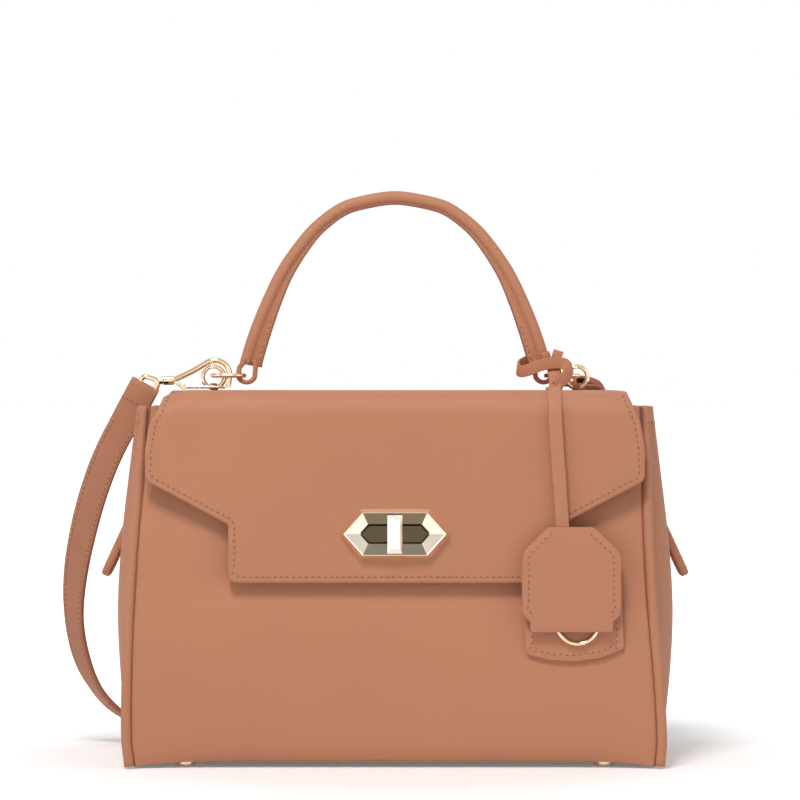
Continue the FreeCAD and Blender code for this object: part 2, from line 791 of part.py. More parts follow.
for sign, name in ((-1, "left"), (1, "right")):
    outer = racetrack(size("loop_half_x"), size("loop_bottom_z"), size("loop_top_z"), size("loop_half_y"))
    inner = racetrack(size("loop_half_x") - size("loop_leather"), size("loop_bottom_z") + size("loop_leather"),
                      size("loop_top_z") - size("loop_leather"), 2 * size("loop_half_y"))
    loop = outer.cut(inner)
    loop.translate(Vector(sign * size("loop_x"), handle_y, 0))
    loop = loop.cut(tube).cut(flange)
    loop = sorted(loop.Solids, key=lambda piece: piece.Volume)[-1]
    feature(name + "_handle_loop", loop)
    bar = size("link_straight") / 2.0
    end = size("link_end_radius")
    z = size("swing_z")
    x = sign * size("link_x")
    link_path = Part.Wire([
        Part.makeLine(Vector(x - bar, handle_y - end, z), Vector(x + bar, handle_y - end, z)),
        Part.Arc(Vector(x + bar, handle_y - end, z), Vector(x + bar + end, handle_y, z),
                 Vector(x + bar, handle_y + end, z)).toShape(),
        Part.makeLine(Vector(x + bar, handle_y + end, z), Vector(x - bar, handle_y + end, z)),
        Part.Arc(Vector(x - bar, handle_y + end, z), Vector(x - bar - end, handle_y, z),
                 Vector(x - bar, handle_y - end, z)).toShape(),
    ])
    feature(name + "_link", closed_tube(link_path, Vector(x - bar, handle_y - end, z), Vector(1, 0, 0),
                                        size("link_wire")))
    ring_z = flap_top + size("ring_wire") + size("ring_seat") + size("ring_radius")
    ring_y = handle_y + size("ring_shift")
    ring_x = sign * size("ring_x")
    ring = Part.makeTorus(size("ring_radius"), size("ring_wire"), Vector(ring_x, ring_y, ring_z), Vector(0, 1, 0))
    feature(name + "_base_ring", ring)
    bar_z = ring_z - size("ring_radius")
    arch_out = Part.makeCylinder(size("tab_bore") + size("tab_leather"), 2 * size("tab_half_x"),
                                 Vector(ring_x - size("tab_half_x"), ring_y, bar_z), Vector(1, 0, 0))
    foot = slab(ring_x - size("tab_half_x"), ring_x + size("tab_half_x"), ring_y,
                ring_y + size("tab_half_y"), flap_top, flap_top + size("tab_leather"))
    arch_in = Part.makeCylinder(size("tab_bore"), 4 * size("tab_half_x"),
                                Vector(ring_x - 2 * size("tab_half_x"), ring_y, bar_z), Vector(1, 0, 0))
    below = slab(ring_x - far_x, ring_x + far_x, -2 * front_y, 2 * front_y, flap_top - far_x, flap_top)
    arch = arch_out.fuse(foot).cut(arch_in).cut(below)
    feature(name + "_ring_tab", arch)

# Snap hooks: the same parts on the left, standing across, and on the right, pointing back.
hook_shares = [(1.0, -0.32), (0.78, -0.064), (0.341, 0.538), (-0.049, 1.0), (-0.293, 0.795), (-0.415, 0.192),
               (-0.405, -0.385), (-0.4, -0.769)]


class HookFrame:
    """Places hook parts along a direction, with an eye turned its own way."""

    def __init__(self, origin, along, eye_along, eye_across):
        self.origin = origin
        self.along = along
        self.side = along.cross(Vector(0, 0, 1))
        self.eye_along = eye_along
        self.eye_across = eye_across

    def at(self, along, up, side=0.0):
        """Return a point given along, above and beside the origin."""
        return self.origin + self.along * along + Vector(0, 0, up) + self.side * side


left_run = size("link_x") + size("link_straight") / 2.0
left_x = left_run + math.sqrt(max(size("link_end_radius") ** 2 - size("hook_side") ** 2, 0.0))
left_frame = HookFrame(
    Vector(-left_x, handle_y - size("hook_side"), size("swing_z")),
    Vector(-1, 0, 0), Vector(-0.9, 0, -0.436), Vector(-0.436, 0, 0.9))
right_frame = HookFrame(
    Vector(size("right_hook_x"), handle_y + size("right_hook_y"), size("swing_z")),
    Vector(0, 1, 0), Vector(math.sqrt(0.5), math.sqrt(0.5), 0), Vector(math.sqrt(0.5), -math.sqrt(0.5), 0))


def rod(start, end, radius):
    """Return a round rod between two points."""
    return Part.makeCylinder(radius, (end - start).Length, start, end - start)


def beside(frame, along, up, side, radius, length):
    """Return a round rod lying across a hook."""
    return Part.makeCylinder(radius, length, frame.at(along, up, side), frame.side)


overrun = size("hook_length") / 2.0
gap = size("swivel_gap")
barrel_up = -size("barrel_drop")
gate_up = -size("gate_drop")
barrel_end = size("barrel_start") + size("barrel_length")
pins = []
eye_tips = {}
for frame, name in ((left_frame, "left"), (right_frame, "right")):
    arm = smooth_tube([frame.at(u * size("hook_length"), v * size("hook_height")) for u, v in hook_shares], size("hook_wire"))
    barrel = rod(frame.at(size("barrel_start"), barrel_up), frame.at(barrel_end, barrel_up), size("barrel_radius"))
    body = arm.fuse(barrel)
    pin = beside(frame, size("gate_start"), gate_up, -size("gate_pin_length") / 2.0, size("gate_pin_radius"),
                 size("gate_pin_length"))
    cheek = size("gate_pin_length") / 2.0 - size("gate_pin_radius") - gap
    for side in (-1, 1):
        start = side * size("gate_pin_length") / 2.0
        plate = Part.makeCylinder(size("gate_eye"), size("gate_pin_length") / 2.0 - cheek + gap,
                                  frame.at(size("gate_start"), gate_up, start), frame.side * -side)
        brace = rod(frame.at(size("gate_start"), gate_up, start * 0.75),
                    frame.at(size("barrel_start") + gap, barrel_up, side * gap), size("gate_pin_radius") + gap)
        body = body.fuse(plate).fuse(brace)
    middle = 2 * (size("gate_pin_length") / 2.0 - (size("gate_pin_length") / 2.0 - cheek + gap)) - gap
    gate_eye = beside(frame, size("gate_start"), gate_up, -middle / 2.0, size("gate_eye"), middle)
    gate_arm = rod(frame.at(size("gate_start"), gate_up), frame.at(-size("gate_end"), gate_up),
                   min(size("gate_wire"), middle / 2.0))
    hole = beside(frame, size("gate_start"), gate_up, -overrun, size("gate_pin_radius") + gap / 2.0, 2 * overrun)
    room_for_eye = beside(frame, size("gate_start"), gate_up, -middle / 2.0 - gap / 2.0, size("gate_eye") + gap,
                          middle + gap)
    tight = beside(frame, size("gate_start"), gate_up, -overrun, size("gate_pin_radius"), 2 * overrun)
    body = body.cut(room_for_eye).cut(tight)
    body = sorted(body.Solids, key=lambda piece: piece.Volume)[-1]
    feature(name + "_hook", body)
    gate = gate_eye.fuse(gate_arm).cut(hole)
    feature(name + "_gate", sorted(gate.Solids, key=lambda piece: piece.Volume)[-1])
    pins.append(pin)
    collar_start = frame.at(barrel_end + gap, barrel_up)
    collar = rod(collar_start, frame.at(barrel_end + gap + size("collar_length"), barrel_up),
                 size("barrel_radius") - gap)
    root = frame.at(barrel_end + gap + size("collar_length"), barrel_up)
    reach = frame.eye_along * size("eye_reach")
    across = frame.eye_across * size("eye_half")
    corners = [root, root + reach + across, root + reach - across]
    path = rounded(corners, [size("eye_wire") * 2.2] * 3)
    first = path.OrderedEdges[1]
    start = first.valueAt(first.FirstParameter)
    eye = path.makePipeShell([Part.Wire([Part.makeCircle(size("eye_wire"), start,
                                                        first.tangentAt(first.FirstParameter))])], True, True)
    eye = eye.fuse(collar)
    feature(name + "_swivel_eye", eye)
    fold_start = root + reach - frame.eye_along * size("strap_leather")
    out = frame.eye_along.cross(frame.eye_across)
    out.normalize()
    half_w = frame.eye_across * (size("strap_width") / 2.0)
    thick = out * size("strap_leather")
    face = Part.Face(polygon([fold_start - half_w - thick, fold_start + half_w - thick, fold_start + half_w + thick,
                              fold_start - half_w + thick]))
    fold = face.extrude(frame.eye_along * (size("fold_length") + size("strap_leather")))
    fold = fold.cut(eye)
    feature(name + "_strap_end", sorted(fold.Solids, key=lambda piece: piece.Volume)[-1])
    eye_tips[name] = root + reach + frame.eye_along * size("fold_length")
    print(name, "gate pivot", frame.at(size("gate_start"), gate_up), "swivel", collar_start, "tip", eye_tips[name])
feature("gate_pins", Part.makeCompound(pins))

# Hang tag on the right: hitch round the handle loop, strap over the flap, two layers and a key ring.
hitch_top = size("loop_top_z")
inner_x = size("loop_half_x") + size("hitch_gap")
inner_y = size("loop_half_y") + size("hitch_gap")
wrap = size("hitch_leather")
hitch = slab(-inner_x - wrap, inner_x + wrap, -inner_y - wrap, inner_y + wrap, hitch_top - size("hitch_height"),
             hitch_top)
hitch = hitch.cut(slab(-inner_x, inner_x, -inner_y, inner_y, 0.0, 2 * hitch_top))
hitch.translate(Vector(size("loop_x"), handle_y, 0))
hitch = hitch.cut(tube).cut(flange)
feature("tag_hitch", sorted(hitch.Solids, key=lambda piece: piece.Volume)[-1])

strap_half = size("tag_strap_width") / 2.0
strap_x = size("tag_strap_x")
strap_back = handle_y - inner_y - wrap - size("loop_leather")
feature("tag_strap_top", flap_layer(-size("tag_strap_leather"), 0.0, strap_x - strap_half, strap_x + strap_half,
                                    size("tag_pivot_z") + size("tag_gap"), strap_back))


def front_plate(points, y, depth):
    """Return a flat plate in front of the flap."""
    outline = [Vector(point[0], -y, point[1]) for point in points]
    return Part.Face(polygon(outline)).extrude(Vector(0, -depth, 0))


tag_front_shares = [(-0.44, 1.0), (0.46, 1.0), (1.0, 0.63), (1.0, -0.23), (0.84, -0.34), (0.84, -0.486),
                    (-0.8, -0.486), (-0.8, -0.34), (-0.96, -0.23), (-0.96, 0.63)]
tag_back_shares = [(-0.44, 1.0), (0.46, 1.0), (1.0, 0.63), (1.02, -0.77), (0.72, -0.914), (-0.68, -0.914),
                   (-1.0, -0.77), (-0.96, 0.63)]


def tag_body(label, shares, y_formula):
    """Return a tag layer as a sketch padded by the leather's thickness."""
    body = doc.addObject("PartDesign::Body", label + "_body")
    plane = [item for item in body.Origin.OriginFeatures if item.Role == "XZ_Plane"][0]
    sketch = body.newObject("Sketcher::SketchObject", label + "_sketch")
    sketch.AttachmentSupport = [(plane, "")]
    sketch.MapMode = "FlatFace"
    sketch.setExpression("AttachmentOffset.Base.z", y_formula)
    points = []
    for x_share, z_share in shares:
        x = size("tag_x") + x_share * size("tag_half_width")
        points.append(Vector(x, size("tag_z") + z_share * size("tag_half_height"), 0))
    for start, end in zip(points, points[1:] + points[:1]):
        sketch.addGeometry(Part.LineSegment(start, end), False)
    pad = body.newObject("PartDesign::Pad", label + "_pad")
    pad.Profile = sketch
    pad.setExpression("Length", "sizes.tag_leather")
    doc.recompute()
    body.Tip = pad
    keep(label, body)
    return body


tag_body("tag_back", tag_back_shares, "sizes.flap_front_y + sizes.tag_gap")
tag_body("tag_front", tag_front_shares,
         "sizes.flap_front_y + 2 * sizes.tag_gap + sizes.tag_leather + 2 * sizes.key_wire")
middle_y = front_y + size("tag_gap") + size("tag_leather")
lean = size("tag_strap_lean")
drop_line = [(strap_x - strap_half, size("tag_pivot_z")), (strap_x + strap_half, size("tag_pivot_z")),
             (strap_x + lean + strap_half, size("tag_strap_end_z")),
             (strap_x + lean - strap_half, size("tag_strap_end_z"))]
drop_depth = 2 * size("key_wire") + size("tag_gap")
feature("tag_strap_drop", front_plate(drop_line, middle_y, drop_depth))
key_y = middle_y + size("tag_gap") / 2.0 + size("key_wire")
key = Part.makeTorus(size("key_radius"), size("key_wire"), Vector(size("key_x"), -key_y, size("key_z")),
                     Vector(0, 1, 0))
feature("key_ring", key)
print("tag pivot", strap_x, -middle_y, size("tag_pivot_z"), "key", size("key_x"), -key_y,
      size("key_z") + size("key_radius"))

# Shoulder strap: places and width directions from the left hook round the back to the right hook.
strap_shares = [
    (-1.395, -0.09, 1.75, -0.75, 0.1, 0.6),
    (-1.44, -0.06, 1.63, -0.88, 0.2, 0.4),
    (-1.52, 0.0, 1.45, -0.9, 0.25, 0.38),
    (-1.6, 0.1, 1.22, -0.9, 0.35, 0.3),
    (-1.67, 0.24, 0.94, -0.8, 0.55, 0.2),
    (-1.695, 0.36, 0.7, -0.65, 0.75, 0.1),
    (-1.665, 0.47, 0.52, -0.6, 0.8, 0.0),
    (-1.6, 0.56, 0.36, -0.5, 0.85, 0.1),
    (-1.48, 0.66, 0.2, -0.5, 0.85, 0.05),
    (-1.28, 0.76, 0.08, -0.4, 0.9, 0.0),
    (-1.0, 0.84, 0.03, -0.25, 0.97, 0.0),
    (-0.6, 0.88, 0.018, -0.1, 1.0, 0.0),
    (0.0, 0.89, 0.018, 0.0, 1.0, 0.0),
    (0.5, 0.88, 0.018, 0.0, 1.0, 0.0),
    (0.72, 0.88, 0.03, 0.0, 1.0, 0.0),
    (0.83, 0.88, 0.11, 0.0, 1.0, 0.0),
    (0.7, 0.88, 0.17, 0.0, 1.0, 0.0),
    (0.35, 0.87, 0.075, 0.0, 1.0, 0.0),
    (-0.1, 0.87, 0.065, 0.0, 1.0, 0.0),
    (-0.38, 0.87, 0.08, 0.0, 1.0, 0.0),
    (-0.5, 0.87, 0.17, 0.0, 1.0, 0.0),
    (-0.37, 0.87, 0.25, 0.0, 1.0, 0.0),
    (-0.05, 0.86, 0.14, 0.0, 1.0, 0.0),
    (0.35, 0.85, 0.13, 0.0, 1.0, 0.0),
    (0.68, 0.83, 0.24, 0.1, 1.0, 0.0),
    (0.9, 0.79, 0.4, 0.3, 0.95, 0.0),
    (1.03, 0.74, 0.65, 0.6, 0.8, 0.0),
    (1.08, 0.69, 0.9, 0.9, 0.4, 0.0),
    (1.1, 0.66, 1.3, 1.0, 0.1, 0.0),
    (1.09, 0.6, 1.63, 0.95, -0.25, 0.0),
    (1.065, 0.545, 1.85, 0.8, -0.55, 0.0),
    (1.02, 0.475, 1.925, 0.75, -0.66, 0.0),
]
strap_breaks = (10, 26)
strap_points = [eye_tips["left"]]
strap_across = [left_frame.eye_across]
for x, y, z, across_x, across_y, across_z in strap_shares:
    strap_points.append(Vector(x, y, z) * size("strap_reach"))
    strap_across.append(Vector(across_x, across_y, across_z))
strap_points.append(eye_tips["right"])
strap_across.append(right_frame.eye_across)


def strap_piece(first, last):
    """Return a run of the strap between two of its points."""
    wires = []
    for index in range(first, last + 1):
        before = strap_points[max(index - 1, 0)]
        after = strap_points[min(index + 1, len(strap_points) - 1)]
        along = after - before
        if index == 0:
            along = left_frame.eye_along
        if index == len(strap_points) - 1:
            along = right_frame.eye_along * -1
        along.normalize()
        across = strap_across[index] - along * along.dot(strap_across[index])
        across.normalize()
        out = along.cross(across) * (size("strap_leather") / 2.0)
        half_across = across * (size("strap_width") / 2.0)
        here = strap_points[index]
        wires.append(polygon([here - half_across - out, here + half_across - out, here + half_across + out,
                              here - half_across + out]))
    return Part.makeLoft(wires, True, True)


last_point = len(strap_points) - 1
feature("strap_left", strap_piece(0, strap_breaks[0]))
feature("strap_floor", strap_piece(strap_breaks[0], strap_breaks[1]))
feature("strap_right", strap_piece(strap_breaks[1], last_point))
length = sum((after - before).Length for before, after in zip(strap_points, strap_points[1:]))
print("strap length", length)

feature("front_panel", front_panel)
feature("back_panel", back_panel)

doc.recompute()
for item in doc.Objects:
    states = set(item.State)
    if "Invalid" in states or "Error" in states:
        raise RuntimeError("bad state in " + item.Label)
for item in EXPORTS:
    if item.Shape.isNull() or not item.Shape.isValid():
        raise RuntimeError("bad shape in " + item.Label)
    if not item.Shape.Solids:
        raise RuntimeError("no solid in " + item.Label)
    item.Shape.exportStep("parts/" + item.Label + ".step")
    print(item.Label, len(item.Shape.Solids), round(item.Shape.Volume, 1))
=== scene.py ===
"""A structured leather bag with a flap, a turn lock, a top handle and a shoulder strap."""
import logging
import math
from collections.abc import Callable
from dataclasses import dataclass, field
from enum import Enum

import bmesh
import bpy
import numpy as np
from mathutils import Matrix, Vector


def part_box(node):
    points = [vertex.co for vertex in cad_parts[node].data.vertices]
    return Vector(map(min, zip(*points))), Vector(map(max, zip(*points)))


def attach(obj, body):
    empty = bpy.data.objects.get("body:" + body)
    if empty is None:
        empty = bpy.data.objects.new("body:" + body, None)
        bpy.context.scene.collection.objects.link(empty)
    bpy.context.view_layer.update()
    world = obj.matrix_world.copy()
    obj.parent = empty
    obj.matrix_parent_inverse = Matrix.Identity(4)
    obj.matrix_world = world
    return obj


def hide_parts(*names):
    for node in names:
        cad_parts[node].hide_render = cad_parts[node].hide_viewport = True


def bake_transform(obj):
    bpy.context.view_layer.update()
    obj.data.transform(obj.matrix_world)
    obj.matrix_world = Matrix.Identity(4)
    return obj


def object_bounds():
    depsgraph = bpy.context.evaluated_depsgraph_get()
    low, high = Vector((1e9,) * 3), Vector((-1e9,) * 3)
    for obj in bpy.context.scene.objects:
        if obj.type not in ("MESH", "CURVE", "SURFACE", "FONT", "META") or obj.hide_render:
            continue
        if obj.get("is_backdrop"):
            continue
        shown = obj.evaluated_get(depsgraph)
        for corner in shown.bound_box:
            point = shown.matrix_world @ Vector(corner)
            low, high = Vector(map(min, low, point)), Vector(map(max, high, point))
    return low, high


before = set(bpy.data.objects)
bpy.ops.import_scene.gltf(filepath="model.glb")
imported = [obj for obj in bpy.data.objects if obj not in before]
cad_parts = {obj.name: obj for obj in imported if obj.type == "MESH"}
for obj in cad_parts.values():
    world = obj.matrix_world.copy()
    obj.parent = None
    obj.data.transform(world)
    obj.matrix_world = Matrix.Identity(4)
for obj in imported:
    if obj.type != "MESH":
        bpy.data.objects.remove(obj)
CAD_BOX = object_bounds()

logging.basicConfig(level=logging.INFO, format="%(message)s")
LOG = logging.getLogger("bag")
MM = 0.001
SEWN = 0.08 * MM
X_AXIS, Y_AXIS, Z_AXIS = np.eye(3)
Array = np.ndarray
Item = bpy.types.Object
Material = bpy.types.Material
Socket = bpy.types.NodeSocket
Tree = bpy.types.NodeTree


class Sign(Enum):
    """A direction from the bag's middle, as the sign of a coordinate."""

    @property
    def label(self) -> str:
        """The direction's name in small letters."""
        return self.name.lower()


class Side(Sign):
    """A side of the bag, as the sign of its x."""

    LEFT = -1.0
    RIGHT = 1.0


class Face(Sign):
    """A face of the bag, as the sign of its y."""

    FRONT = -1.0
    BACK = 1.0


class Slot(Enum):
    """The record's material slots, passed along with the pieces of this scene."""

    LEATHER = "tan_leather"
    LINING = "lining_fabric"
    TAPE = "zip_tape"
    METAL = "gold_metal"


# Numbers and curves


def table(rows: list, scale: float = 1.0) -> Array:
    """Dataclass field that holds an array of numbers times a scale."""
    return field(default_factory=lambda: np.array(rows, float) * scale)


def ramp(values: Array, start: float, span: float) -> Array:
    """Share of a span that values have covered past its start, from 0 to 1."""
    return np.clip((values - start) / span, 0, 1)


def hump(values: Array, middle: float, width: float, height: float = 1.0) -> Array:
    """Bell curve round a middle."""
    return height * np.exp(-((values - middle) / width) ** 2)


def fade(values: Array, reach: float, height: float = 1.0) -> Array:
    """Fall from a height at zero towards nothing."""
    return height * np.exp(-values / reach)


def crowded(places: Array, power: float) -> Array:
    """Places from -1 to 1, moved closer together near both ends."""
    return np.sign(places) * (1 - (1 - np.abs(places)) ** power)


def joined(*columns: Array) -> Array:
    """Coordinates, spread to one shape and joined as places."""
    return np.stack(np.broadcast_arrays(*columns), axis=-1)


def unit(vectors: Array) -> Array:
    """Vectors scaled to length one."""
    return vectors / np.maximum(np.linalg.norm(vectors, axis=-1, keepdims=True), 1e-12)


def square_to(vectors: Array, axis: Array) -> Array:
    """Unit vectors, with their part along unit axes taken out."""
    return unit(vectors - axis * np.sum(vectors * axis, axis=-1, keepdims=True))


def distances(points: Array) -> Array:
    """Distance run along a line up to each of its points."""
    return np.concatenate([[0.0], np.cumsum(np.linalg.norm(np.diff(points, axis=0), axis=1))])


def read_at(spots: Array, knots: Array, rows: Array) -> Array:
    """Rows of numbers, read at spots between their knots."""
    return np.stack([np.interp(spots, knots, column) for column in rows.T], axis=1)


def spline_matrix(knots: Array, samples: Array) -> Array:
    """Linear operator of a cubic Hermite curve whose slopes are central differences.

    Args:
        knots: places of the values, rising.
        samples: places to read the curve at.

    Returns:
        A matrix of samples by knots that turns knot values into curve values.
    """
    knots = np.asarray(knots, float)
    count = len(knots)
    eye = np.eye(count)
    slope = np.empty((count, count))
    slope[1:-1] = (eye[2:] - eye[:-2]) / (knots[2:] - knots[:-2])[:, None]
    slope[0] = (eye[1] - eye[0]) / (knots[1] - knots[0])
    slope[-1] = (eye[-1] - eye[-2]) / (knots[-1] - knots[-2])
    cell = np.clip(np.searchsorted(knots, samples, side="right") - 1, 0, count - 2)
    step = (knots[cell + 1] - knots[cell])[:, None]
    t = (np.asarray(samples, float) - knots[cell])[:, None] / step
    return ((2 * t**3 - 3 * t**2 + 1) * eye[cell] + (t**3 - 2 * t**2 + t) * step * slope[cell]
            + (3 * t**2 - 2 * t**3) * eye[cell + 1] + (t**3 - t**2) * step * slope[cell + 1])


def curve_through(points: Array, count: int) -> Array:
    """Smooth curve through points, spaced by chord length.

    Args:
        points: places to pass through, one per row.
        count: how many places to return.

    Returns:
        Evenly parted places along the curve.
    """
    chord = distances(points)
    return spline_matrix(chord, np.linspace(0.0, chord[-1], count)) @ points


def resample(path: Array, step: float, closed: bool = False) -> Array:
    """Even steps along a line of points.

    Args:
        path: the line's points; columns past the third are carried along.
        step: wished distance between the new points.
        closed: whether the line returns to its start.

    Returns:
        Points a step apart.
    """
    line = np.vstack([path, path[:1]]) if closed else path
    run = distances(line[:, :3])
    count = max(int(round(run[-1] / step)), 2)
    spots = np.linspace(0.0, run[-1], count + 1)
    return read_at(spots[:-1] if closed else spots, run, line)


def tangents(path: Array, closed: bool = False) -> Array:
    """Directions along a line of points, by central differences."""
    if closed:
        return unit(np.roll(path, -1, axis=0) - np.roll(path, 1, axis=0))
    return unit(np.gradient(path, axis=0))


def rounded_outline(corners: Array, radii: Array, arc: int) -> Array:
    """Closed outline whose corners are tangent arcs.

    Args:
        corners: the corner places in two dimensions.
        radii: the arc radius at each corner.
        arc: how many points each arc has.

    Returns:
        Points round the outline.
    """
    before = np.roll(corners, 1, axis=0) - corners
    after = np.roll(corners, -1, axis=0) - corners
    reach = np.minimum(np.linalg.norm(before, axis=1), np.linalg.norm(after, axis=1)) * 0.48
    before, after = unit(before), unit(after)
    half = np.arccos(np.clip(np.sum(before * after, axis=1), -1, 1)) / 2
    back = np.minimum(radii / np.tan(half), reach)[:, None]
    start, end = corners + before * back, corners + after * back
    t = np.linspace(0.0, 1.0, arc)[None, :, None]
    bend = (1 - t) ** 2 * start[:, None] + 2 * t * (1 - t) * corners[:, None] + t**2 * end[:, None]
    return bend.reshape(-1, 2)


def box_corners(half_width: float, half_height: float) -> Array:
    """Four corners of a rectangle round the origin."""
    return np.array([[-1, -1], [1, -1], [1, 1], [-1, 1]]) * np.array([half_width, half_height])


def inset_outline(outline: Array, inset: float) -> Array:
    """Closed outline moved towards its inside along its own normals.

    Args:
        outline: points round the outline.
        inset: distance to move.

    Returns:
        The moved points.
    """
    along = tangents(outline, closed=True)
    normal = np.stack([-along[:, 1], along[:, 0]], axis=1)
    x, y = outline.T
    area = np.sum(x * np.roll(y, -1) - np.roll(x, -1) * y)
    return outline + normal * (inset if area > 0 else -inset)


def from_widest_gap(line: Array) -> Array:
    """Points of a broken ring, turned so that they start behind its widest gap."""
    gap = np.linalg.norm(np.roll(line, 1, axis=0) - line, axis=1)
    return np.roll(line, -int(np.argmax(gap)), axis=0)


# Meshes


def grid_quads(rows: int, cols: int, wrap: bool = False) -> Array:
    """Quads of a grid of points stored row by row.

    Args:
        rows: number of rows.
        cols: number of points in a row.
        wrap: whether each row closes on itself.

    Returns:
        Four point numbers for each quad.
    """
    r = np.arange(rows - 1)[:, None] * cols
    c = np.arange(cols if wrap else cols - 1)[None, :]
    n = (c + 1) % cols
    return np.stack([r + c, r + n, r + cols + n, r + cols + c], axis=-1).reshape(-1, 4)


def mesh_object(name: str, points: Array, quads: Array, material: Material, smooth: bool = True) -> Item:
    """Put points and quads into a new object at the origin.

    Args:
        name: the object's name.
        points: places, one per row, in metres.
        quads: four point numbers for each face.
        material: the finish.
        smooth: whether faces shade smoothly.

    Returns:
        The new object.
    """
    mesh = bpy.data.meshes.new(name)
    quads = np.asarray(quads, np.int32)
    mesh.vertices.add(len(points))
    mesh.vertices.foreach_set("co", np.ascontiguousarray(points, np.float32).ravel())
    mesh.loops.add(quads.size)
    mesh.loops.foreach_set("vertex_index", quads.ravel())
    mesh.polygons.add(len(quads))
    mesh.polygons.foreach_set("loop_start", np.arange(0, quads.size, 4, dtype=np.int32))
    mesh.polygons.foreach_set("use_smooth", np.full(len(quads), smooth))
    mesh.update(calc_edges=True)
    mesh.validate()
    mesh.materials.append(material)
    item = bpy.data.objects.new(name, mesh)
    bpy.context.scene.collection.objects.link(item)
    return item


def turned_out(points: Array, quads: Array) -> Array:
    """Quads of a closed surface, flipped if they enclose a negative volume.

    Args:
        points: the surface's points.
        quads: the surface's quads.

    Returns:
        Quads whose faces point outwards.
    """
    a, b, c, d = (points[quads[:, k]] for k in range(4))
    volume = np.sum(a * np.cross(b, c)) + np.sum(a * np.cross(c, d))
    return quads if volume > 0 else quads[:, ::-1]


def slab(name: str, outer: Array, inner: Array, material: Material, bevel: float = 0.0,
         drop: Array | None = None) -> Item:
    """Closed sheet between two matching grids, joined round their rims.

    Args:
        name: the object's name.
        outer: grid of places on one face.
        inner: grid of places on the other face.
        material: the finish.
        bevel: how far the rim's edges are rounded.
        drop: for each quad of a face, whether it is left out.

    Returns:
        The sheet.
    """
    rows, cols = outer.shape[:2]
    count = rows * cols
    face = grid_quads(rows, cols)
    ring = np.concatenate([
        np.arange(cols), np.arange(1, rows) * cols + cols - 1,
        (rows - 1) * cols + np.arange(cols - 2, -1, -1), np.arange(rows - 2, 0, -1) * cols])
    after = np.roll(ring, -1)
    rim = np.stack([ring, ring + count, after + count, after], axis=1)
    points = np.concatenate([outer.reshape(-1, 3), inner.reshape(-1, 3)])
    whole = turned_out(points, np.concatenate([face, face[:, ::-1] + count, rim]))
    if drop is not None:
        whole = whole[np.concatenate([~drop.ravel(), ~drop.ravel(), np.ones(len(rim), bool)])]
    item = mesh_object(name, points, whole, material)
    if bevel > 0:
        soften(item, bevel)
    return item


def soften(item: Item, width: float) -> None:
    """Round an object's sharp edges and shade it by face area.

    Args:
        item: the object.
        width: how far its edges are rounded.
    """
    tool = item.modifiers.new("round", "BEVEL")
    tool.width = width
    tool.segments = 2
    tool.limit_method = "ANGLE"
    tool.angle_limit = math.radians(50)
    tool.harden_normals = False
    item.modifiers.new("shade", "WEIGHTED_NORMAL").keep_sharp = False


def shell(name: str, rings: Array, material: Material) -> Item:
    """Closed surface over rings of places, with its seams and poles merged.

    Args:
        name: the object's name.
        rings: the rings, each with as many places.
        material: the finish.

    Returns:
        The surface.
    """
    points = rings.reshape(-1, 3)
    quads = turned_out(points, grid_quads(*rings.shape[:2], wrap=True))
    item = mesh_object(name, points, quads, material)
    work = bmesh.new()
    work.from_mesh(item.data)
    bmesh.ops.remove_doubles(work, verts=work.verts, dist=1e-6)
    work.to_mesh(item.data)
    work.free()
    return item


def sweep(name: str, path: Array, across: Array, profile: Array, material: Material,
          out: Array | None = None) -> Item:
    """Profile carried along a path: each section is path + across * p0 + out * p1.

    Args:
        name: the object's name.
        path: places along the path.
        across: first axis of the section, one or one for each place.
        profile: closed section, the same all along or one for each place.
        material: the finish.
        out: second axis of the section at each place, where it isn't square to path and across.

    Returns:
        The swept piece, capped at its ends.
    """
    across = np.broadcast_to(across, path.shape)
    out = np.cross(tangents(path), across) if out is None else out
    profile = np.broadcast_to(profile, (len(path),) + profile.shape[-2:])
    rings = path[:, None] + across[:, None] * profile[..., :1] + out[:, None] * profile[..., 1:]
    caps = rings[[0, -1]].mean(axis=1, keepdims=True).repeat(rings.shape[1], axis=1)
    return shell(name, np.concatenate([caps[:1], rings, caps[1:]]), material)


def strip_profile(width: float, thick: float, edge: float) -> Array:
    """Section of a flat strip with rounded edges, centred on its path."""
    return rounded_outline(box_corners(width / 2, thick / 2), np.full(4, edge), 4)


def round_profile(radius: float, count: int) -> Array:
    """Round section."""
    turn = np.linspace(0, 2 * np.pi, count, endpoint=False)
    return joined(np.cos(turn), np.sin(turn)) * radius


def plate(name: str, outline: Array, lift: Callable[[Array, float], Array], thick: float, edge: float,
          material: Material) -> Item:
    """Plate with a rounded rim: rings run from the middle of one face over the rim to the other's middle.

    Args:
        name: the object's name.
        outline: points round the plate in two dimensions.
        lift: function from places in two dimensions and a depth to places in space.
        thick: the plate's thickness.
        edge: how far its rim is rounded.
        material: the finish.

    Returns:
        The plate.
    """
    centre = outline.mean(axis=0)
    turn = np.linspace(0, np.pi / 2, 4)
    early, late = edge * (1 - np.sin(turn)), edge * (1 - np.cos(turn))
    draw = np.array([1.0, 0.75, 0.5, 0.25])
    shrink = np.concatenate([draw, np.zeros(8), draw[::-1]])
    inset = np.concatenate([np.full(4, edge), early, late, np.full(4, edge)])
    depth = np.concatenate([np.zeros(4), late, thick - early, np.full(4, thick)])
    rings = []
    for move, pull, down in zip(inset, shrink, depth):
        flat = inset_outline(outline, move)
        rings.append(lift(flat + (centre - flat) * pull, down))
    return shell(name, np.stack(rings), material)


# Finishes


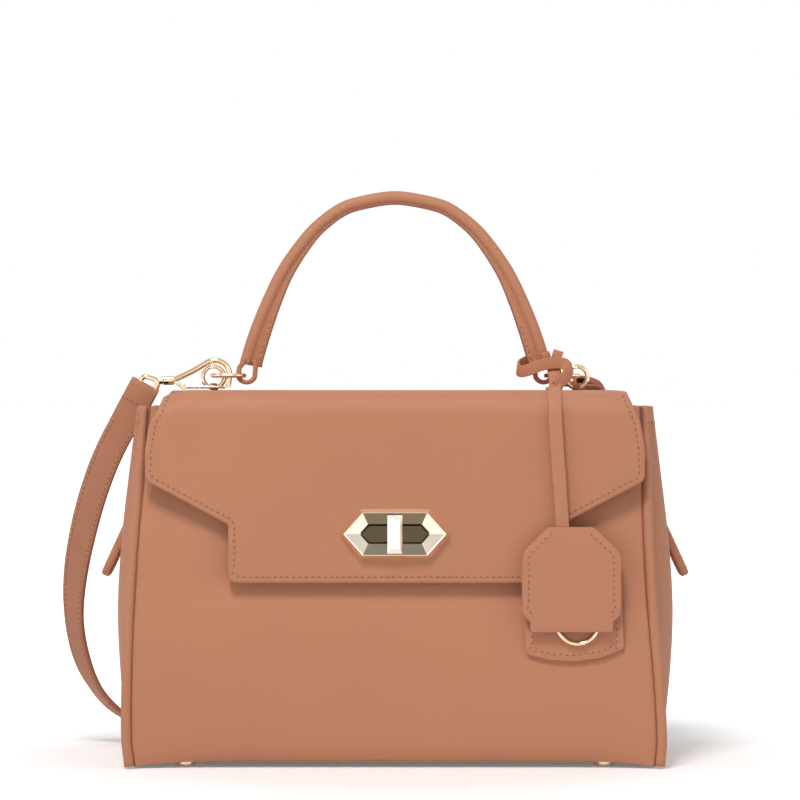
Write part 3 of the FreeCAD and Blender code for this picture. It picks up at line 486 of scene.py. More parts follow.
def put(tree: Tree, kind: str, values: dict | None = None, **settings: str) -> bpy.types.Node:
    """Add a node, set its properties, and set or link its inputs.

    Args:
        tree: the node tree.
        kind: the node's type.
        values: inputs by name or number, each a value or a socket to link from.
        settings: properties of the node.

    Returns:
        The node.
    """
    node = tree.nodes.new(kind)
    for label, value in settings.items():
        setattr(node, label, value)
    for label, value in (values or {}).items():
        if isinstance(value, Socket):
            tree.links.new(value, node.inputs[label])
        else:
            node.inputs[label].default_value = value
    return node


def calc(tree: Tree, operation: str, *values: Socket | float) -> Socket:
    """Result of a math node on sockets or numbers."""
    return put(tree, "ShaderNodeMath", dict(enumerate(values)), operation=operation).outputs[0]


def remap(tree: Tree, value: Socket, source: tuple, target: tuple = (0.0, 1.0)) -> Socket:
    """A value carried from one range to another."""
    ends = {"From Min": source[0], "From Max": source[1], "To Min": target[0], "To Max": target[1]}
    return put(tree, "ShaderNodeMapRange", {"Value": value, **ends}).outputs[0]


def noise(tree: Tree, place: Socket, scale: Socket | float, detail: float = 2.0) -> Socket:
    """Soft noise over places."""
    return put(tree, "ShaderNodeTexNoise", {"Vector": place, "Scale": scale, "Detail": detail}).outputs["Fac"]


def two_tone(tree: Tree, factor: Socket, first: tuple, second: Socket | tuple) -> Socket:
    """Mix of two colours, the second of which may be linked."""
    colours = {6: (*first, 1.0), 7: second if isinstance(second, Socket) else (*second, 1.0)}
    return put(tree, "ShaderNodeMix", {"Factor": factor, **colours}, data_type="RGBA").outputs[2]


def new_group(name: str, inputs: dict) -> tuple:
    """Empty pattern group that takes a place and numbers and gives a height and a tone.

    Args:
        name: the group's name.
        inputs: names of the numbers and their first values.

    Returns:
        The group, its inputs and its outputs.
    """
    group = bpy.data.node_groups.new(name, "ShaderNodeTree")
    group.interface.new_socket("Place", in_out="INPUT", socket_type="NodeSocketVector")
    for label, value in inputs.items():
        socket = group.interface.new_socket(label, in_out="INPUT", socket_type="NodeSocketFloat")
        socket.default_value = value
    for label in ("Height", "Tone"):
        group.interface.new_socket(label, in_out="OUTPUT", socket_type="NodeSocketFloat")
    return group, group.nodes.new("NodeGroupInput").outputs, group.nodes.new("NodeGroupOutput").inputs


def grain_group() -> Tree:
    """Leather grain: small cells with soft walls over a broad unevenness, and a slow drift of tone.

    Returns:
        The pattern group.
    """
    group, source, sink = new_group("leather_grain", {"Cells": 900.0, "Drift": 9.0})
    place = source["Place"]
    cells = put(group, "ShaderNodeTexVoronoi", {"Vector": place, "Scale": source["Cells"]}, feature="SMOOTH_F1")
    walls = calc(group, "MULTIPLY", cells.outputs["Distance"], 0.55)
    group.links.new(calc(group, "ADD", walls, noise(group, place, 150.0, 3.0)), sink["Height"])
    group.links.new(noise(group, place, source["Drift"]), sink["Tone"])
    return group


def weave_group() -> Tree:
    """Plain weave: two crossed rows of threads, as a height and a tone.

    Returns:
        The pattern group.
    """
    group, source, sink = new_group("lining_weave", {"Threads": 700.0})
    place = source["Place"]
    rows = [put(group, "ShaderNodeTexWave", {"Vector": place, "Scale": source["Threads"]},
                wave_type="BANDS", bands_direction=axis).outputs["Fac"] for axis in ("X", "Z")]
    group.links.new(calc(group, "MAXIMUM", *rows), sink["Height"])
    group.links.new(noise(group, place, 40.0), sink["Tone"])
    return group


def blank_material(name: str) -> tuple:
    """New material with one Principled shader.

    Args:
        name: the material's name.

    Returns:
        The material, its node tree, its shader's inputs and its Object coordinates.
    """
    material = bpy.data.materials.new(name)
    material.use_nodes = True
    tree = material.node_tree
    tree.nodes.clear()
    shader = tree.nodes.new("ShaderNodeBsdfPrincipled")
    put(tree, "ShaderNodeOutputMaterial", {"Surface": shader.outputs[0]})
    return material, tree, shader.inputs, tree.nodes.new("ShaderNodeTexCoord").outputs["Object"]


@dataclass(frozen=True)
class Patterned:
    """A finish whose tone, roughness and fine relief come from one shared pattern."""

    name: str
    light: tuple
    dark: tuple
    rough: tuple = (0.42, 0.52)
    relief: float = 0.05
    depth: float = 0.0002
    specular: float = 0.4
    middle: tuple = (0.3, 0.7)
    settings: dict = field(default_factory=dict)

    def material(self, pattern: Tree) -> Material:
        """Build the material on a pattern group.

        Args:
            pattern: the group that gives Height and Tone.

        Returns:
            The material.
        """
        material, tree, shader, place = blank_material(self.name)
        node = tree.nodes.new("ShaderNodeGroup")
        node.node_tree = pattern
        tree.links.new(place, node.inputs["Place"])
        for label, value in self.settings.items():
            node.inputs[label].default_value = value
        tone = node.outputs["Tone"]
        colour = two_tone(tree, remap(tree, tone, self.middle), self.dark, self.light)
        bump = put(tree, "ShaderNodeBump", {"Height": node.outputs["Height"], "Strength": self.relief,
                                            "Distance": self.depth})
        tree.links.new(colour, shader["Base Color"])
        tree.links.new(remap(tree, tone, self.middle, self.rough), shader["Roughness"])
        tree.links.new(bump.outputs["Normal"], shader["Normal"])
        shader["Specular IOR Level"].default_value = self.specular
        return material


@dataclass(frozen=True)
class Metal:
    """A polished plated metal with a faint unevenness of its gloss."""

    name: str
    colour: tuple
    rough: tuple = (0.07, 0.13)
    spots: float = 220.0

    def material(self) -> Material:
        """Build the material.

        Returns:
            The material.
        """
        material, tree, shader, place = blank_material(self.name)
        gloss = remap(tree, noise(tree, place, self.spots, 3.0), (0.3, 0.7), self.rough)
        tree.links.new(gloss, shader["Roughness"])
        shader["Base Color"].default_value = (*self.colour, 1.0)
        shader["Metallic"].default_value = 1.0
        self.tone(tree, shader["Base Color"], place)
        return material

    def tone(self, tree: Tree, colour: Socket, place: Socket) -> None:
        """Leave the metal in one tone."""


@dataclass(frozen=True)
class LockMetal(Metal):
    """The lock frame's plating: a pale gold that stands in for a painted highlight, with darker tones on the facets
    above and below its window as painted dark reflections.
    """

    # Painted dark reflections: the tones of the facets above and below the window
    above: tuple = (0.215, 0.170, 0.105)
    below: tuple = (0.400, 0.345, 0.240)
    height: float = 116.5 * MM
    window: tuple = (13.2 * MM, 4.4 * MM)
    ridge: tuple = (16.0 * MM, 10.5 * MM)

    def tone(self, tree: Tree, colour: Socket, place: Socket) -> None:
        """Paint dark reflections on two facets, masked between window and ridge and inside the slanted lines that
        join them.

        Args:
            tree: the material's nodes.
            colour: the shader's colour input.
            place: Object coordinates.
        """
        parts = put(tree, "ShaderNodeSeparateXYZ", {"Vector": place}).outputs
        rise = calc(tree, "SUBTRACT", parts["Z"], self.height)
        high = calc(tree, "ABSOLUTE", rise)
        wide = calc(tree, "ABSOLUTE", parts["X"])
        slant = remap(tree, high, (self.window[1], self.ridge[1]), (self.window[0], self.ridge[0]))
        inside = calc(tree, "LESS_THAN", wide, slant)
        past = calc(tree, "GREATER_THAN", high, self.window[1])
        before = calc(tree, "LESS_THAN", high, self.ridge[1])
        facet = calc(tree, "MULTIPLY", calc(tree, "MULTIPLY", past, before), inside)
        # Painted dark reflection on the two facets, darker above the window than below
        painted_dark_reflection = two_tone(tree, calc(tree, "GREATER_THAN", rise, 0.0), self.below, self.above)
        tree.links.new(two_tone(tree, facet, self.colour, painted_dark_reflection), colour)


@dataclass(frozen=True)
class Thread:
    """Sewing thread: the sizes of its stitches and of the needle holes between them."""

    pitch: float = 3.1 * MM
    length: float = 2.0 * MM
    radius: float = 0.34 * MM
    lean: float = 0.12
    # hole: size of the dark bead that paints a needle hole's shade
    hole: float = 0.42 * MM
    rings: int = 5
    turns: int = 6
    caps: tuple = ((0, 5, 4, 1), (1, 4, 3, 2), (24, 25, 28, 29), (25, 26, 27, 28))

    def row(self, path: Array, out: Array, closed: bool = False) -> tuple:
        """Places, directions and outward normals of a row of stitches along a line.

        Args:
            path: the line's points.
            out: outward direction at each point, or one for all.
            closed: whether the line returns to its start.

        Returns:
            Middles, directions and normals.
        """
        both = resample(np.hstack([path, np.broadcast_to(out, path.shape)]), self.pitch, closed)
        return both[:, :3], tangents(both[:, :3], closed), unit(both[:, 3:])

    def bead(self, length: float, radius: float, flat: float) -> Array:
        """Rings of a long bead: its width follows the fourth power of its length.

        Args:
            length: the bead's length.
            radius: its half width.
            flat: its height as a share of its width.

        Returns:
            Places round the origin.
        """
        ends = np.linspace(-1, 1, self.rings)
        swell = np.sqrt(np.clip(1 - ends**4, 0.0, 1.0)) * 0.94 + 0.06
        ring = round_profile(radius, self.turns) * np.array([1.0, flat])
        return np.hstack([np.repeat(ends * length / 2, self.turns)[:, None],
                          (swell[:, None, None] * ring).reshape(-1, 2)])

    def stitches(self, name: str, rows: list, materials: tuple) -> Item:
        """Rows of short thread stitches, each a flattened bead beside a dark bead that paints the shade of its
        needle hole.

        Args:
            name: the object's name.
            rows: for each row, what the method row takes.
            materials: the thread's material and the holes' dark material, painted shade.

        Returns:
            One object that holds every stitch.
        """
        lines = [self.row(*row) for row in rows]
        spots, along, normal = (np.concatenate(parts) for parts in zip(*lines))
        along = square_to(along, normal)
        along = unit(along + np.cross(normal, along) * self.lean)
        axes = np.stack([along, np.cross(normal, along), normal], axis=1)
        thread = self.bead(self.length, self.radius, 0.8)
        # Dark bead beside each stitch: painted shade of the needle hole
        hole = self.bead(self.hole, self.hole, 0.45) + X_AXIS * self.pitch / 2
        points = spots[:, None] + np.einsum("vk,nkc->nvc", np.concatenate([thread, hole]), axes)
        quads = np.concatenate([grid_quads(self.rings, self.turns, wrap=True), self.caps])[:, ::-1]
        every = quads[None] + (np.arange(len(spots) * 2) * len(thread))[:, None, None]
        item = mesh_object(name, points.reshape(-1, 3), every.reshape(-1, 4), materials[0])
        item.data.materials.append(materials[1])
        picks = np.tile(np.repeat([0, 1], len(quads)), len(spots)).astype(np.int32)
        item.data.polygons.foreach_set("material_index", picks)
        return item


class Finishes:
    """Every material of the bag, built once."""

    def __init__(self) -> None:
        """Build the pattern groups and the materials."""
        grain, weave = grain_group(), weave_group()
        self.leather = Patterned("tan_leather", (0.570, 0.247, 0.140), (0.540, 0.231, 0.130), (0.52, 0.62),
                                 0.06, specular=0.26).material(grain)
        self.strap_leather = Patterned("strap_leather", (0.530, 0.228, 0.130), (0.495, 0.210, 0.119),
                                       (0.52, 0.62), 0.06, specular=0.26).material(grain)
        # Dark edge paint, also used for the tubes that paint the shade in the seam grooves
        self.edge = Patterned("edge_paint_and_groove_shade", (0.300, 0.112, 0.066), (0.270, 0.100, 0.058), (0.40, 0.50),
                              0.03).material(grain)
        self.thread = (
            Patterned("sewing_thread", (0.640, 0.330, 0.190), (0.560, 0.270, 0.150), (0.55, 0.7), 0.2,
                      settings={"Cells": 2500.0}).material(grain),
            # Dark needle holes: painted shade
            Patterned("needle_hole_shade", (0.110, 0.030, 0.014), (0.080, 0.022, 0.010), (0.8, 0.9)).material(grain))
        self.lining = Patterned("woven_lining", (0.330, 0.215, 0.150), (0.290, 0.185, 0.125), (0.8, 0.9),
                                0.3).material(weave)
        self.tape = Patterned("zip_tape", (0.330, 0.145, 0.090), (0.290, 0.125, 0.075), (0.75, 0.85),
                              0.4).material(weave)
        self.board = Patterned("base_board", (0.110, 0.085, 0.070), (0.090, 0.070, 0.055), (0.7, 0.8),
                               0.2).material(grain)
        self.gold = Metal("pale_gold", (0.840, 0.680, 0.460)).material()
        # The lock's gold is paler than the other hardware's: a painted highlight, with painted dark reflections on
        # two facets
        self.lock_gold = LockMetal("lock_gold", (0.930, 0.840, 0.690)).material()
        # Whiter gold for the turn knob: a painted highlight on its face
        self.painted_highlight_gold = Metal("painted_highlight_gold", (0.960, 0.890, 0.770)).material()
        # Near-black metal for the lock boss: painted shade inside the lock's window
        self.dark_gold = Metal("painted_shade_gold", (0.090, 0.068, 0.042), (0.12, 0.2)).material()
        self.sewing = Thread()


# The studio


@dataclass(frozen=True)
class Lamp:
    """A large soft lamp: where it stands, what it faces, its side and its watts."""

    name: str
    place: tuple
    aim: tuple
    size: float
    power: float

    def build(self) -> None:
        """Add the lamp to the scene."""
        data = bpy.data.lights.new(self.name, "AREA")
        data.size = self.size
        data.energy = self.power
        lamp = bpy.data.objects.new(self.name, data)
        lamp.location = self.place
        step = np.array(self.aim) - np.array(self.place)
        flat = math.hypot(step[0], step[1])
        lamp.rotation_euler = (math.atan2(flat, -step[2]), 0.0, math.atan2(-step[0], step[1]))
        bpy.context.scene.collection.objects.link(lamp)


@dataclass
class Studio:
    """Camera, floor, world and lamps."""

    lens: float = 144.0
    sensor: float = 36.0
    eye: tuple = (0.0025, -1.645, 0.183)
    ambient: float = 0.27
    floor_reach: float = 60.0
    floor_glow: tuple = (0.16, 0.95)
    lamps: tuple = (Lamp("key_lamp", (-0.30, -1.05, 1.75), (0.0, -0.05, 0.14), 0.5, 21.0),
                    Lamp("left_lamp", (-1.5, -1.1, 0.7), (0.0, 0.0, 0.12), 0.9, 3.0),
                    Lamp("right_lamp", (1.5, -1.0, 0.8), (0.0, 0.0, 0.12), 0.9, 3.5),
                    Lamp("back_lamp", (0.3, 1.5, 1.7), (0.0, 0.0, 0.12), 1.2, 4.0))

    def build(self) -> None:
        """Make the photograph's view and a plain pale studio."""
        scene = bpy.context.scene
        scene.view_settings.view_transform = "Standard"
        data = bpy.data.cameras.new("camera")
        data.lens = self.lens
        data.sensor_width = self.sensor
        camera = bpy.data.objects.new("camera", data)
        camera.location = self.eye
        camera.rotation_euler = (math.radians(90), 0.0, 0.0)
        scene.collection.objects.link(camera)
        scene.camera = camera
        self.world()
        self.floor()
        for lamp in self.lamps:
            lamp.build()

    def world(self) -> None:
        """White for the camera; soft light with a darker band in front for reflections."""
        world = bpy.data.worlds.new("studio")
        bpy.context.scene.world = world
        world.use_nodes = True
        tree = world.node_tree
        tree.nodes.clear()
        place = tree.nodes.new("ShaderNodeTexCoord").outputs["Generated"]
        parts = put(tree, "ShaderNodeSeparateXYZ", {"Vector": place}).outputs
        band = remap(tree, parts["Z"], (-0.3, 0.9), (0.16, 0.7))
        side = remap(tree, calc(tree, "ABSOLUTE", parts["X"]), (0.3, 0.6))
        ahead = remap(tree, parts["Y"], (-0.82, -0.95))
        shine = calc(tree, "MAXIMUM", band, calc(tree, "MAXIMUM", side, ahead))
        ray = tree.nodes.new("ShaderNodeLightPath").outputs
        soft, glossy, white = (put(tree, "ShaderNodeBackground", {"Color": (1, 1, 1, 1), "Strength": power})
                               .outputs[0] for power in (self.ambient, shine, 1.0))
        mixed = soft
        for kind, light in (("Glossy", glossy), ("Transmission", white), ("Camera", white)):
            mixed = put(tree, "ShaderNodeMixShader", {0: ray["Is %s Ray" % kind], 1: mixed, 2: light}).outputs[0]
        put(tree, "ShaderNodeOutputWorld", {"Surface": mixed})

    def floor(self) -> None:
        """Pale floor that keeps the bag's shadow and glows further out, for camera and reflections."""
        material, tree, shader, place = blank_material("pale_floor")
        tone = remap(tree, noise(tree, place, 3.0), (0.0, 1.0), (0.96, 0.97))
        colour = put(tree, "ShaderNodeCombineColor", {0: tone, 1: tone, 2: tone})
        tree.links.new(colour.outputs[0], shader["Base Color"])
        shader["Roughness"].default_value = 0.9
        ray = tree.nodes.new("ShaderNodeLightPath").outputs
        far = put(tree, "ShaderNodeVectorMath", {0: place}, operation="LENGTH").outputs["Value"]
        seen = calc(tree, "MAXIMUM", ray["Is Camera Ray"], ray["Is Glossy Ray"])
        shown = calc(tree, "MULTIPLY", seen, remap(tree, far, (0.12, 0.60), self.floor_glow))
        shader["Emission Color"].default_value = (1, 1, 1, 1)
        tree.links.new(shown, shader["Emission Strength"])
        corners = box_corners(self.floor_reach, self.floor_reach)
        mesh_object("floor", joined(*corners.T, 0.0), np.array([[0, 1, 2, 3]]), material)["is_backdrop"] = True


# The bag's pieces


@dataclass
class Dresser:
    """Shared work of every sub-assembly: sewing, riding and replacing."""

    finishes: Finishes

    def dress(self, item: Item, where: str, slot: Slot, nodes: tuple) -> None:
        """Let a piece stand for CAD nodes and report it.

        Args:
            item: the piece.
            where: what carries it.
            slot: the record's material slot; not used.
            nodes: the CAD nodes it stands for.
        """
        if nodes:
            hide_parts(*nodes)
        LOG.info("%s on %s", item.name, where)

    def place(self, item: Item, body: str, slot: Slot, *nodes: str) -> None:
        """Let a piece ride on a body and stand for CAD nodes."""
        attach(item, body)
        self.dress(item, body, slot, nodes)

    def bridge(self, item: Item, first: str, second: str, start: tuple, end: tuple, *nodes: str) -> None:
        """Bake a leather piece that lies between two bodies and let it stand for CAD nodes."""
        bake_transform(item)
        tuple(start)
        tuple(end)
        self.dress(item, "%s and %s" % (first, second), Slot.LEATHER, nodes)

    def stitched(self, name: str, *rows: tuple) -> Item:
        """Rows of stitches, each given by its line, its outward direction and whether it closes."""
        return self.finishes.sewing.stitches(name, rows, self.finishes.thread)

    def sew(self, name: str, body: str, *rows: tuple) -> None:
        """Add rows of stitches that ride on a body."""
        self.place(self.stitched(name, *rows), body, Slot.LEATHER)


@dataclass
class BodyShape:
    """Levels of the body: height, seam x, seam y, bulge x and fold x, in metres."""

    z: Array = table([4.5, 15, 45, 80, 116, 150, 180], MM)
    seam_x: Array = table([130, 131.5, 131.5, 130.5, 128.5, 125.5, 123.5], MM)
    seam_y: Array = table([58, 58, 56.5, 53.6, 49.9, 45.4, 40.7], MM)
    bulge_x: Array = table([132, 135, 138.5, 140, 138, 134, 130], MM)
    fold_x: Array = table([132, 135.5, 139, 138.5, 130.5, 117, 106], MM)
    front_right_x: Array = table([-0.3, -0.8, -2.4, -4.2, -4.0, -1.5, 0.0], MM)
    knots: Array = table([-1.0, -0.55, 0.0, 0.55, 1.0])
    crease: tuple = (0.0, 0.10, 2.5 * MM)
    crease_z: tuple = (95 * MM, 85 * MM)
    leather: float = 2.0 * MM
    welt: float = 2.5 * MM
    rim_drop: tuple = (9 * MM, 3.3 * MM)

    def drawn_in(self, count: int) -> Array:
        """How far the front right seam stands inside the other seams at each level."""
        return spline_matrix(self.z, np.linspace(self.z[0], self.z[-1], count)) @ self.front_right_x

    def levels(self, count: int) -> tuple:
        """Smooth curves of the five level values.

        Args:
            count: how many levels to return.

        Returns:
            Heights and the four curves over them.
        """
        z = np.linspace(self.z[0], self.z[-1], count)
        turn = spline_matrix(self.z, z)
        low = z - fade(z - z[0], *self.rim_drop)
        return low, turn @ self.seam_x, turn @ self.seam_y, turn @ self.bulge_x, turn @ self.fold_x

    def gusset_x(self, levels: tuple, t: Array, shift: Array | float = 0.0) -> Array:
        """Gusset surface: x over the depth passes seam, bulge, inward fold, bulge and seam at each level.

        Args:
            levels: heights and the four curves over them.
            t: shares of the depth, from -1 at the front to 1 at the back.
            shift: how far the front seam is moved.

        Returns:
            Places across, levels by shares.
        """
        z, x, _, bulge, fold = levels
        rows = np.stack([x + shift, bulge, fold, bulge, x], axis=1) @ spline_matrix(self.knots, t).T
        return rows - hump(t, *self.crease)[None] * ramp(z, *self.crease_z)[:, None]


@dataclass
class Body(Dresser):
    """Panels, gussets, welts and base of the bag."""

    shape: BodyShape = field(default_factory=BodyShape)
    half: float = 131.0 * MM
    swell: tuple = (56 * MM, 20 * MM, 0.4 * MM)
    dent: tuple = (91 * MM, 14 * MM, 2.4 * MM)
    turned: float = 3.2 * MM
    curl: float = 2.6 * MM
    under: tuple = ((3.2 * MM, 2.2 * MM), (26 * MM, 3.2 * MM))
    edge_lift: tuple = (12 * MM, 2.6 * MM)
    welt_out: tuple = (1.9 * MM, 1.3 * MM)
    groove: tuple = (2.75 * MM, 0.25 * MM)
    seam_radius: float = 0.55 * MM
    hem_z: float = 172.8 * MM
    hem_lift: float = 0.1 * MM
    base_half: tuple = (129.0 * MM, 51.6 * MM)
    base_z: tuple = (4.5 * MM, 3.0 * MM)
    base_sag: float = 0.9 * MM
    sag_half: float = 58.5 * MM
    bevel: float = 0.5 * MM
    gusset_bevel: float = 0.6 * MM

    def build(self) -> None:
        """Make and dress every piece of the body."""
        for face in Face:
            self.panel(face)
            self.welts(face)
        for side in Side:
            self.gusset(side)
        self.base()

    def panel(self, face: Face) -> None:
        """Panel surface: y follows the seam's curve plus a low, wide swell; its lower edge lifts in the middle.

        Args:
            face: front or back.
        """
        z, x, y, _, _ = self.shape.levels(110)
        even = np.linspace(-1, 1, 140)
        swell = (hump(z, *self.swell) - hump(z, *self.dent))[:, None] * (1 - even**4)
        across = crowded(even, 1.35)
        wide = np.abs(across)
        edge = np.clip(1 - (1 - wide) * self.half / self.turned, 0, 1)
        curl = self.curl * (1 - np.sqrt(1 - edge**2))
        above = (z - z[0])[:, None]
        under = sum(fade(above, *part) for part in self.under)
        deep = y[:, None] + swell - curl - under * (1 - wide**8)
        lift = (1 - wide**5) * fade(above, *self.edge_lift)
        shift = self.shape.drawn_in(110)[:, None] * np.clip(across, 0, 1) ** 3 * (face is Face.FRONT)
        outer = joined(x[:, None] * across + shift, face.value * deep, z[:, None] + lift)
        inner = outer - Y_AXIS * face.value * self.shape.leather * 0.9
        item = slab(face.label + "_panel_leather", outer, inner, self.finishes.leather, self.bevel)
        self.place(item, "bag_body", Slot.LEATHER, face.label + "_panel")

    def welts(self, face: Face) -> None:
        """Piping along both seams of a panel, and beside each a dark tube that is painted shade in the seam's
        groove.

        Args:
            face: front or back.
        """
        z, x, y, _, _ = self.shape.levels(90)
        thick = np.interp(z, np.array([150, 172]) * MM, np.array([1.0, 0.62]) * self.shape.welt)
        for side in Side:
            drawn = face is Face.FRONT and side is Side.RIGHT
            shift = self.shape.drawn_in(90) if drawn else 0.0
            path = joined(side.value * (x + self.welt_out[0] + shift), face.value * (y - self.welt_out[1]), z)
            across = unit(np.cross(tangents(path), Y_AXIS))
            welt = sweep("%s_welt_%s" % (face.label, side.label), path, across,
                         round_profile(1.0, 18) * thick[:, None, None], self.finishes.leather)
            self.place(welt, "bag_body", Slot.LEATHER, *([face.label + "_welt"] if side is Side.LEFT else []))
            # Dark tube in the groove between panel and welt: painted shade
            groove = path + np.array([-side.value * self.groove[0], face.value * self.groove[1], 0.0])
            seam = sweep("%s_seam_%s" % (face.label, side.label), groove, across,
                         round_profile(self.seam_radius, 8), self.finishes.edge)
            self.place(seam, "bag_body", Slot.LEATHER)

    def gusset(self, side: Side) -> None:
        """Gusset leather between the two seams of a side, with its stitches.

        Args:
            side: left or right.
        """
        levels = self.shape.levels(64)
        t = np.linspace(-1, 1, 72)
        rows = self.shape.gusset_x(levels, t, self.shape.drawn_in(64) if side is Side.RIGHT else 0.0)
        deep = (levels[2] - self.shape.leather)[:, None] * t
        outer = joined(side.value * rows, deep, levels[0][:, None])
        inner = outer - X_AXIS * side.value * self.shape.leather * 0.9
        name = side.label + "_gusset"
        item = slab(name + "_leather", outer, inner, self.finishes.leather, self.gusset_bevel)
        self.place(item, "bag_body", Slot.LEATHER, name)
        self.hem(name, outer, X_AXIS * side.value)

    def hem(self, name: str, outer: Array, out: Array) -> None:
        """Stitches under the gusset's top edge and down beside its seams.

        Args:
            name: the gusset's name.
            outer: the gusset's outer grid.
            out: the outward direction.
        """
        level = int(np.argmin(np.abs(outer[:, 0, 2] - self.hem_z)))
        lines = [outer[level, 2:-2]] + [outer[level - 6:-1, column][::-1] for column in (9, -10)]
        self.sew(name + "_hem", "bag_body", *((line + out * self.hem_lift, out) for line in lines))

    def base(self) -> None:
        """Base leather: a flat sheet that sags a little between the feet."""
        x = np.linspace(-1, 1, 60)[None] * self.base_half[0]
        y = np.linspace(-1, 1, 40)[:, None] * self.base_half[1]
        sag = self.base_sag * np.cos(x / self.half * np.pi / 2) * np.cos(y / self.sag_half * np.pi / 2)
        upper, lower = (joined(x, y, z - sag) for z in self.base_z)
        item = slab("base_leather", upper, lower, self.finishes.leather, self.bevel)
        self.place(item, "bag_body", Slot.LEATHER, "base_panel")


@dataclass
class FlapShape:
    """Sizes of the flap, in metres."""

    top: float = 188.0 * MM
    front: float = 56.0 * MM
    bend: float = 13.0 * MM
    back: float = 39.4 * MM
    outer: float = 1.8 * MM
    lining: float = 1.4 * MM
    low: float = 92.0 * MM
    half_side: float = 124.3 * MM
    half_tongue: float = 83.0 * MM
    side_z: float = 143.0 * MM
    step_z: float = 121.0 * MM
    edge: float = 1.3 * MM
    lock_z: float = 116.5 * MM
    lock_half: tuple = (20.5 * MM, 8.0 * MM)
    hang: tuple = (3.4 * MM, 1.8 * MM)
    hang_from: tuple = (100.0 * MM, 106.0 * MM)
    hang_reach: float = 16.0 * MM
    hang_y: tuple = (-15 * MM, 40 * MM)
    hang_z: tuple = (168 * MM, 12 * MM)
    corners: Array = table([[116, 200], [116.3, 187], [122, 173], [124.3, 158], [124.3, 143], [83, 121],
                            [83, 92]], MM)
    radii: Array = table([1, 6, 12, 12, 5, 3, 5], MM)

    @property
    def flat(self) -> float:
        """Distance from the hinge to the start of the bend."""
        return self.back + self.front - self.bend

    def profile(self, run: Array) -> tuple:
        """Line over the top, round the bend and down the front, by the distance run from the hinge.

        Args:
            run: distances from the back edge.

        Returns:
            y, z, and the outward normal's y and z.
        """
        angle = np.clip((run - self.flat) / self.bend, 0, np.pi / 2)
        y = np.where(run < self.flat, self.back - run, -self.front + self.bend - self.bend * np.sin(angle))
        z = np.where(run < self.flat, self.top, self.top - self.bend + self.bend * np.cos(angle))
        z = z - np.clip(run - self.flat - self.bend * np.pi / 2, 0, None)
        return y, z, -np.sin(angle), np.cos(angle)

    def run_of(self, z: Array | float) -> Array | float:
        """Distance from the back edge of heights on the front face."""
        return self.flat + self.bend * np.pi / 2 + (self.top - self.bend) - z

    def outline(self) -> Array:
        """Front outline: sides, diagonals and tongue, with rounded corners, in x and height."""
        left = self.corners[::-1] * np.array([-1, 1])
        return rounded_outline(np.vstack([self.corners, left]), np.append(self.radii, self.radii[::-1]), 10)

    def half_width(self, z: Array) -> Array:
        """Half width of the flap at heights, read off its outline.

        Args:
            z: heights on the front face.

        Returns:
            Half widths.
        """
        outline = self.outline()
        right = outline[outline[:, 0] > 0]
        right = right[np.argsort(-right[:, 1], kind="stable")]
        return np.interp(-z, -right[:, 1], right[:, 0])

    def edge_distance(self, x: Array, z: Array, inset: float) -> Array:
        """Distance of places from the flap's slanted and lower edges, as straight lines.

        Args:
            x: places across.
            z: heights.
            inset: how far the edges are drawn in.

        Returns:
            Distances, zero at the edges.
        """
        wide = np.abs(x) - self.half_tongue
        normal = unit(np.array([self.side_z - self.step_z, self.half_tongue - self.half_side]))
        slant = np.where(wide > 0, -(wide * normal[0] + (z - self.step_z) * normal[1]), 1.0)
        low = np.where(wide <= 0, z - self.low, 1.0)
        return np.maximum(np.minimum(slant, low) - inset, 0.0)

    def droop(self, x: Array, y: Array, z: Array) -> Array:
        """How far the flap's front upper corners hang below its top.

        Args:
            x: places across.
            y: places in depth.
            z: heights.

        Returns:
            Falls, more on the left than on the right.
        """
        past = ramp(np.abs(x), np.where(x < 0, *self.hang_from), self.hang_reach)
        fall = np.where(x < 0, *self.hang) * past**2
        return fall * ramp(-y, *self.hang_y) * ramp(z, *self.hang_z)


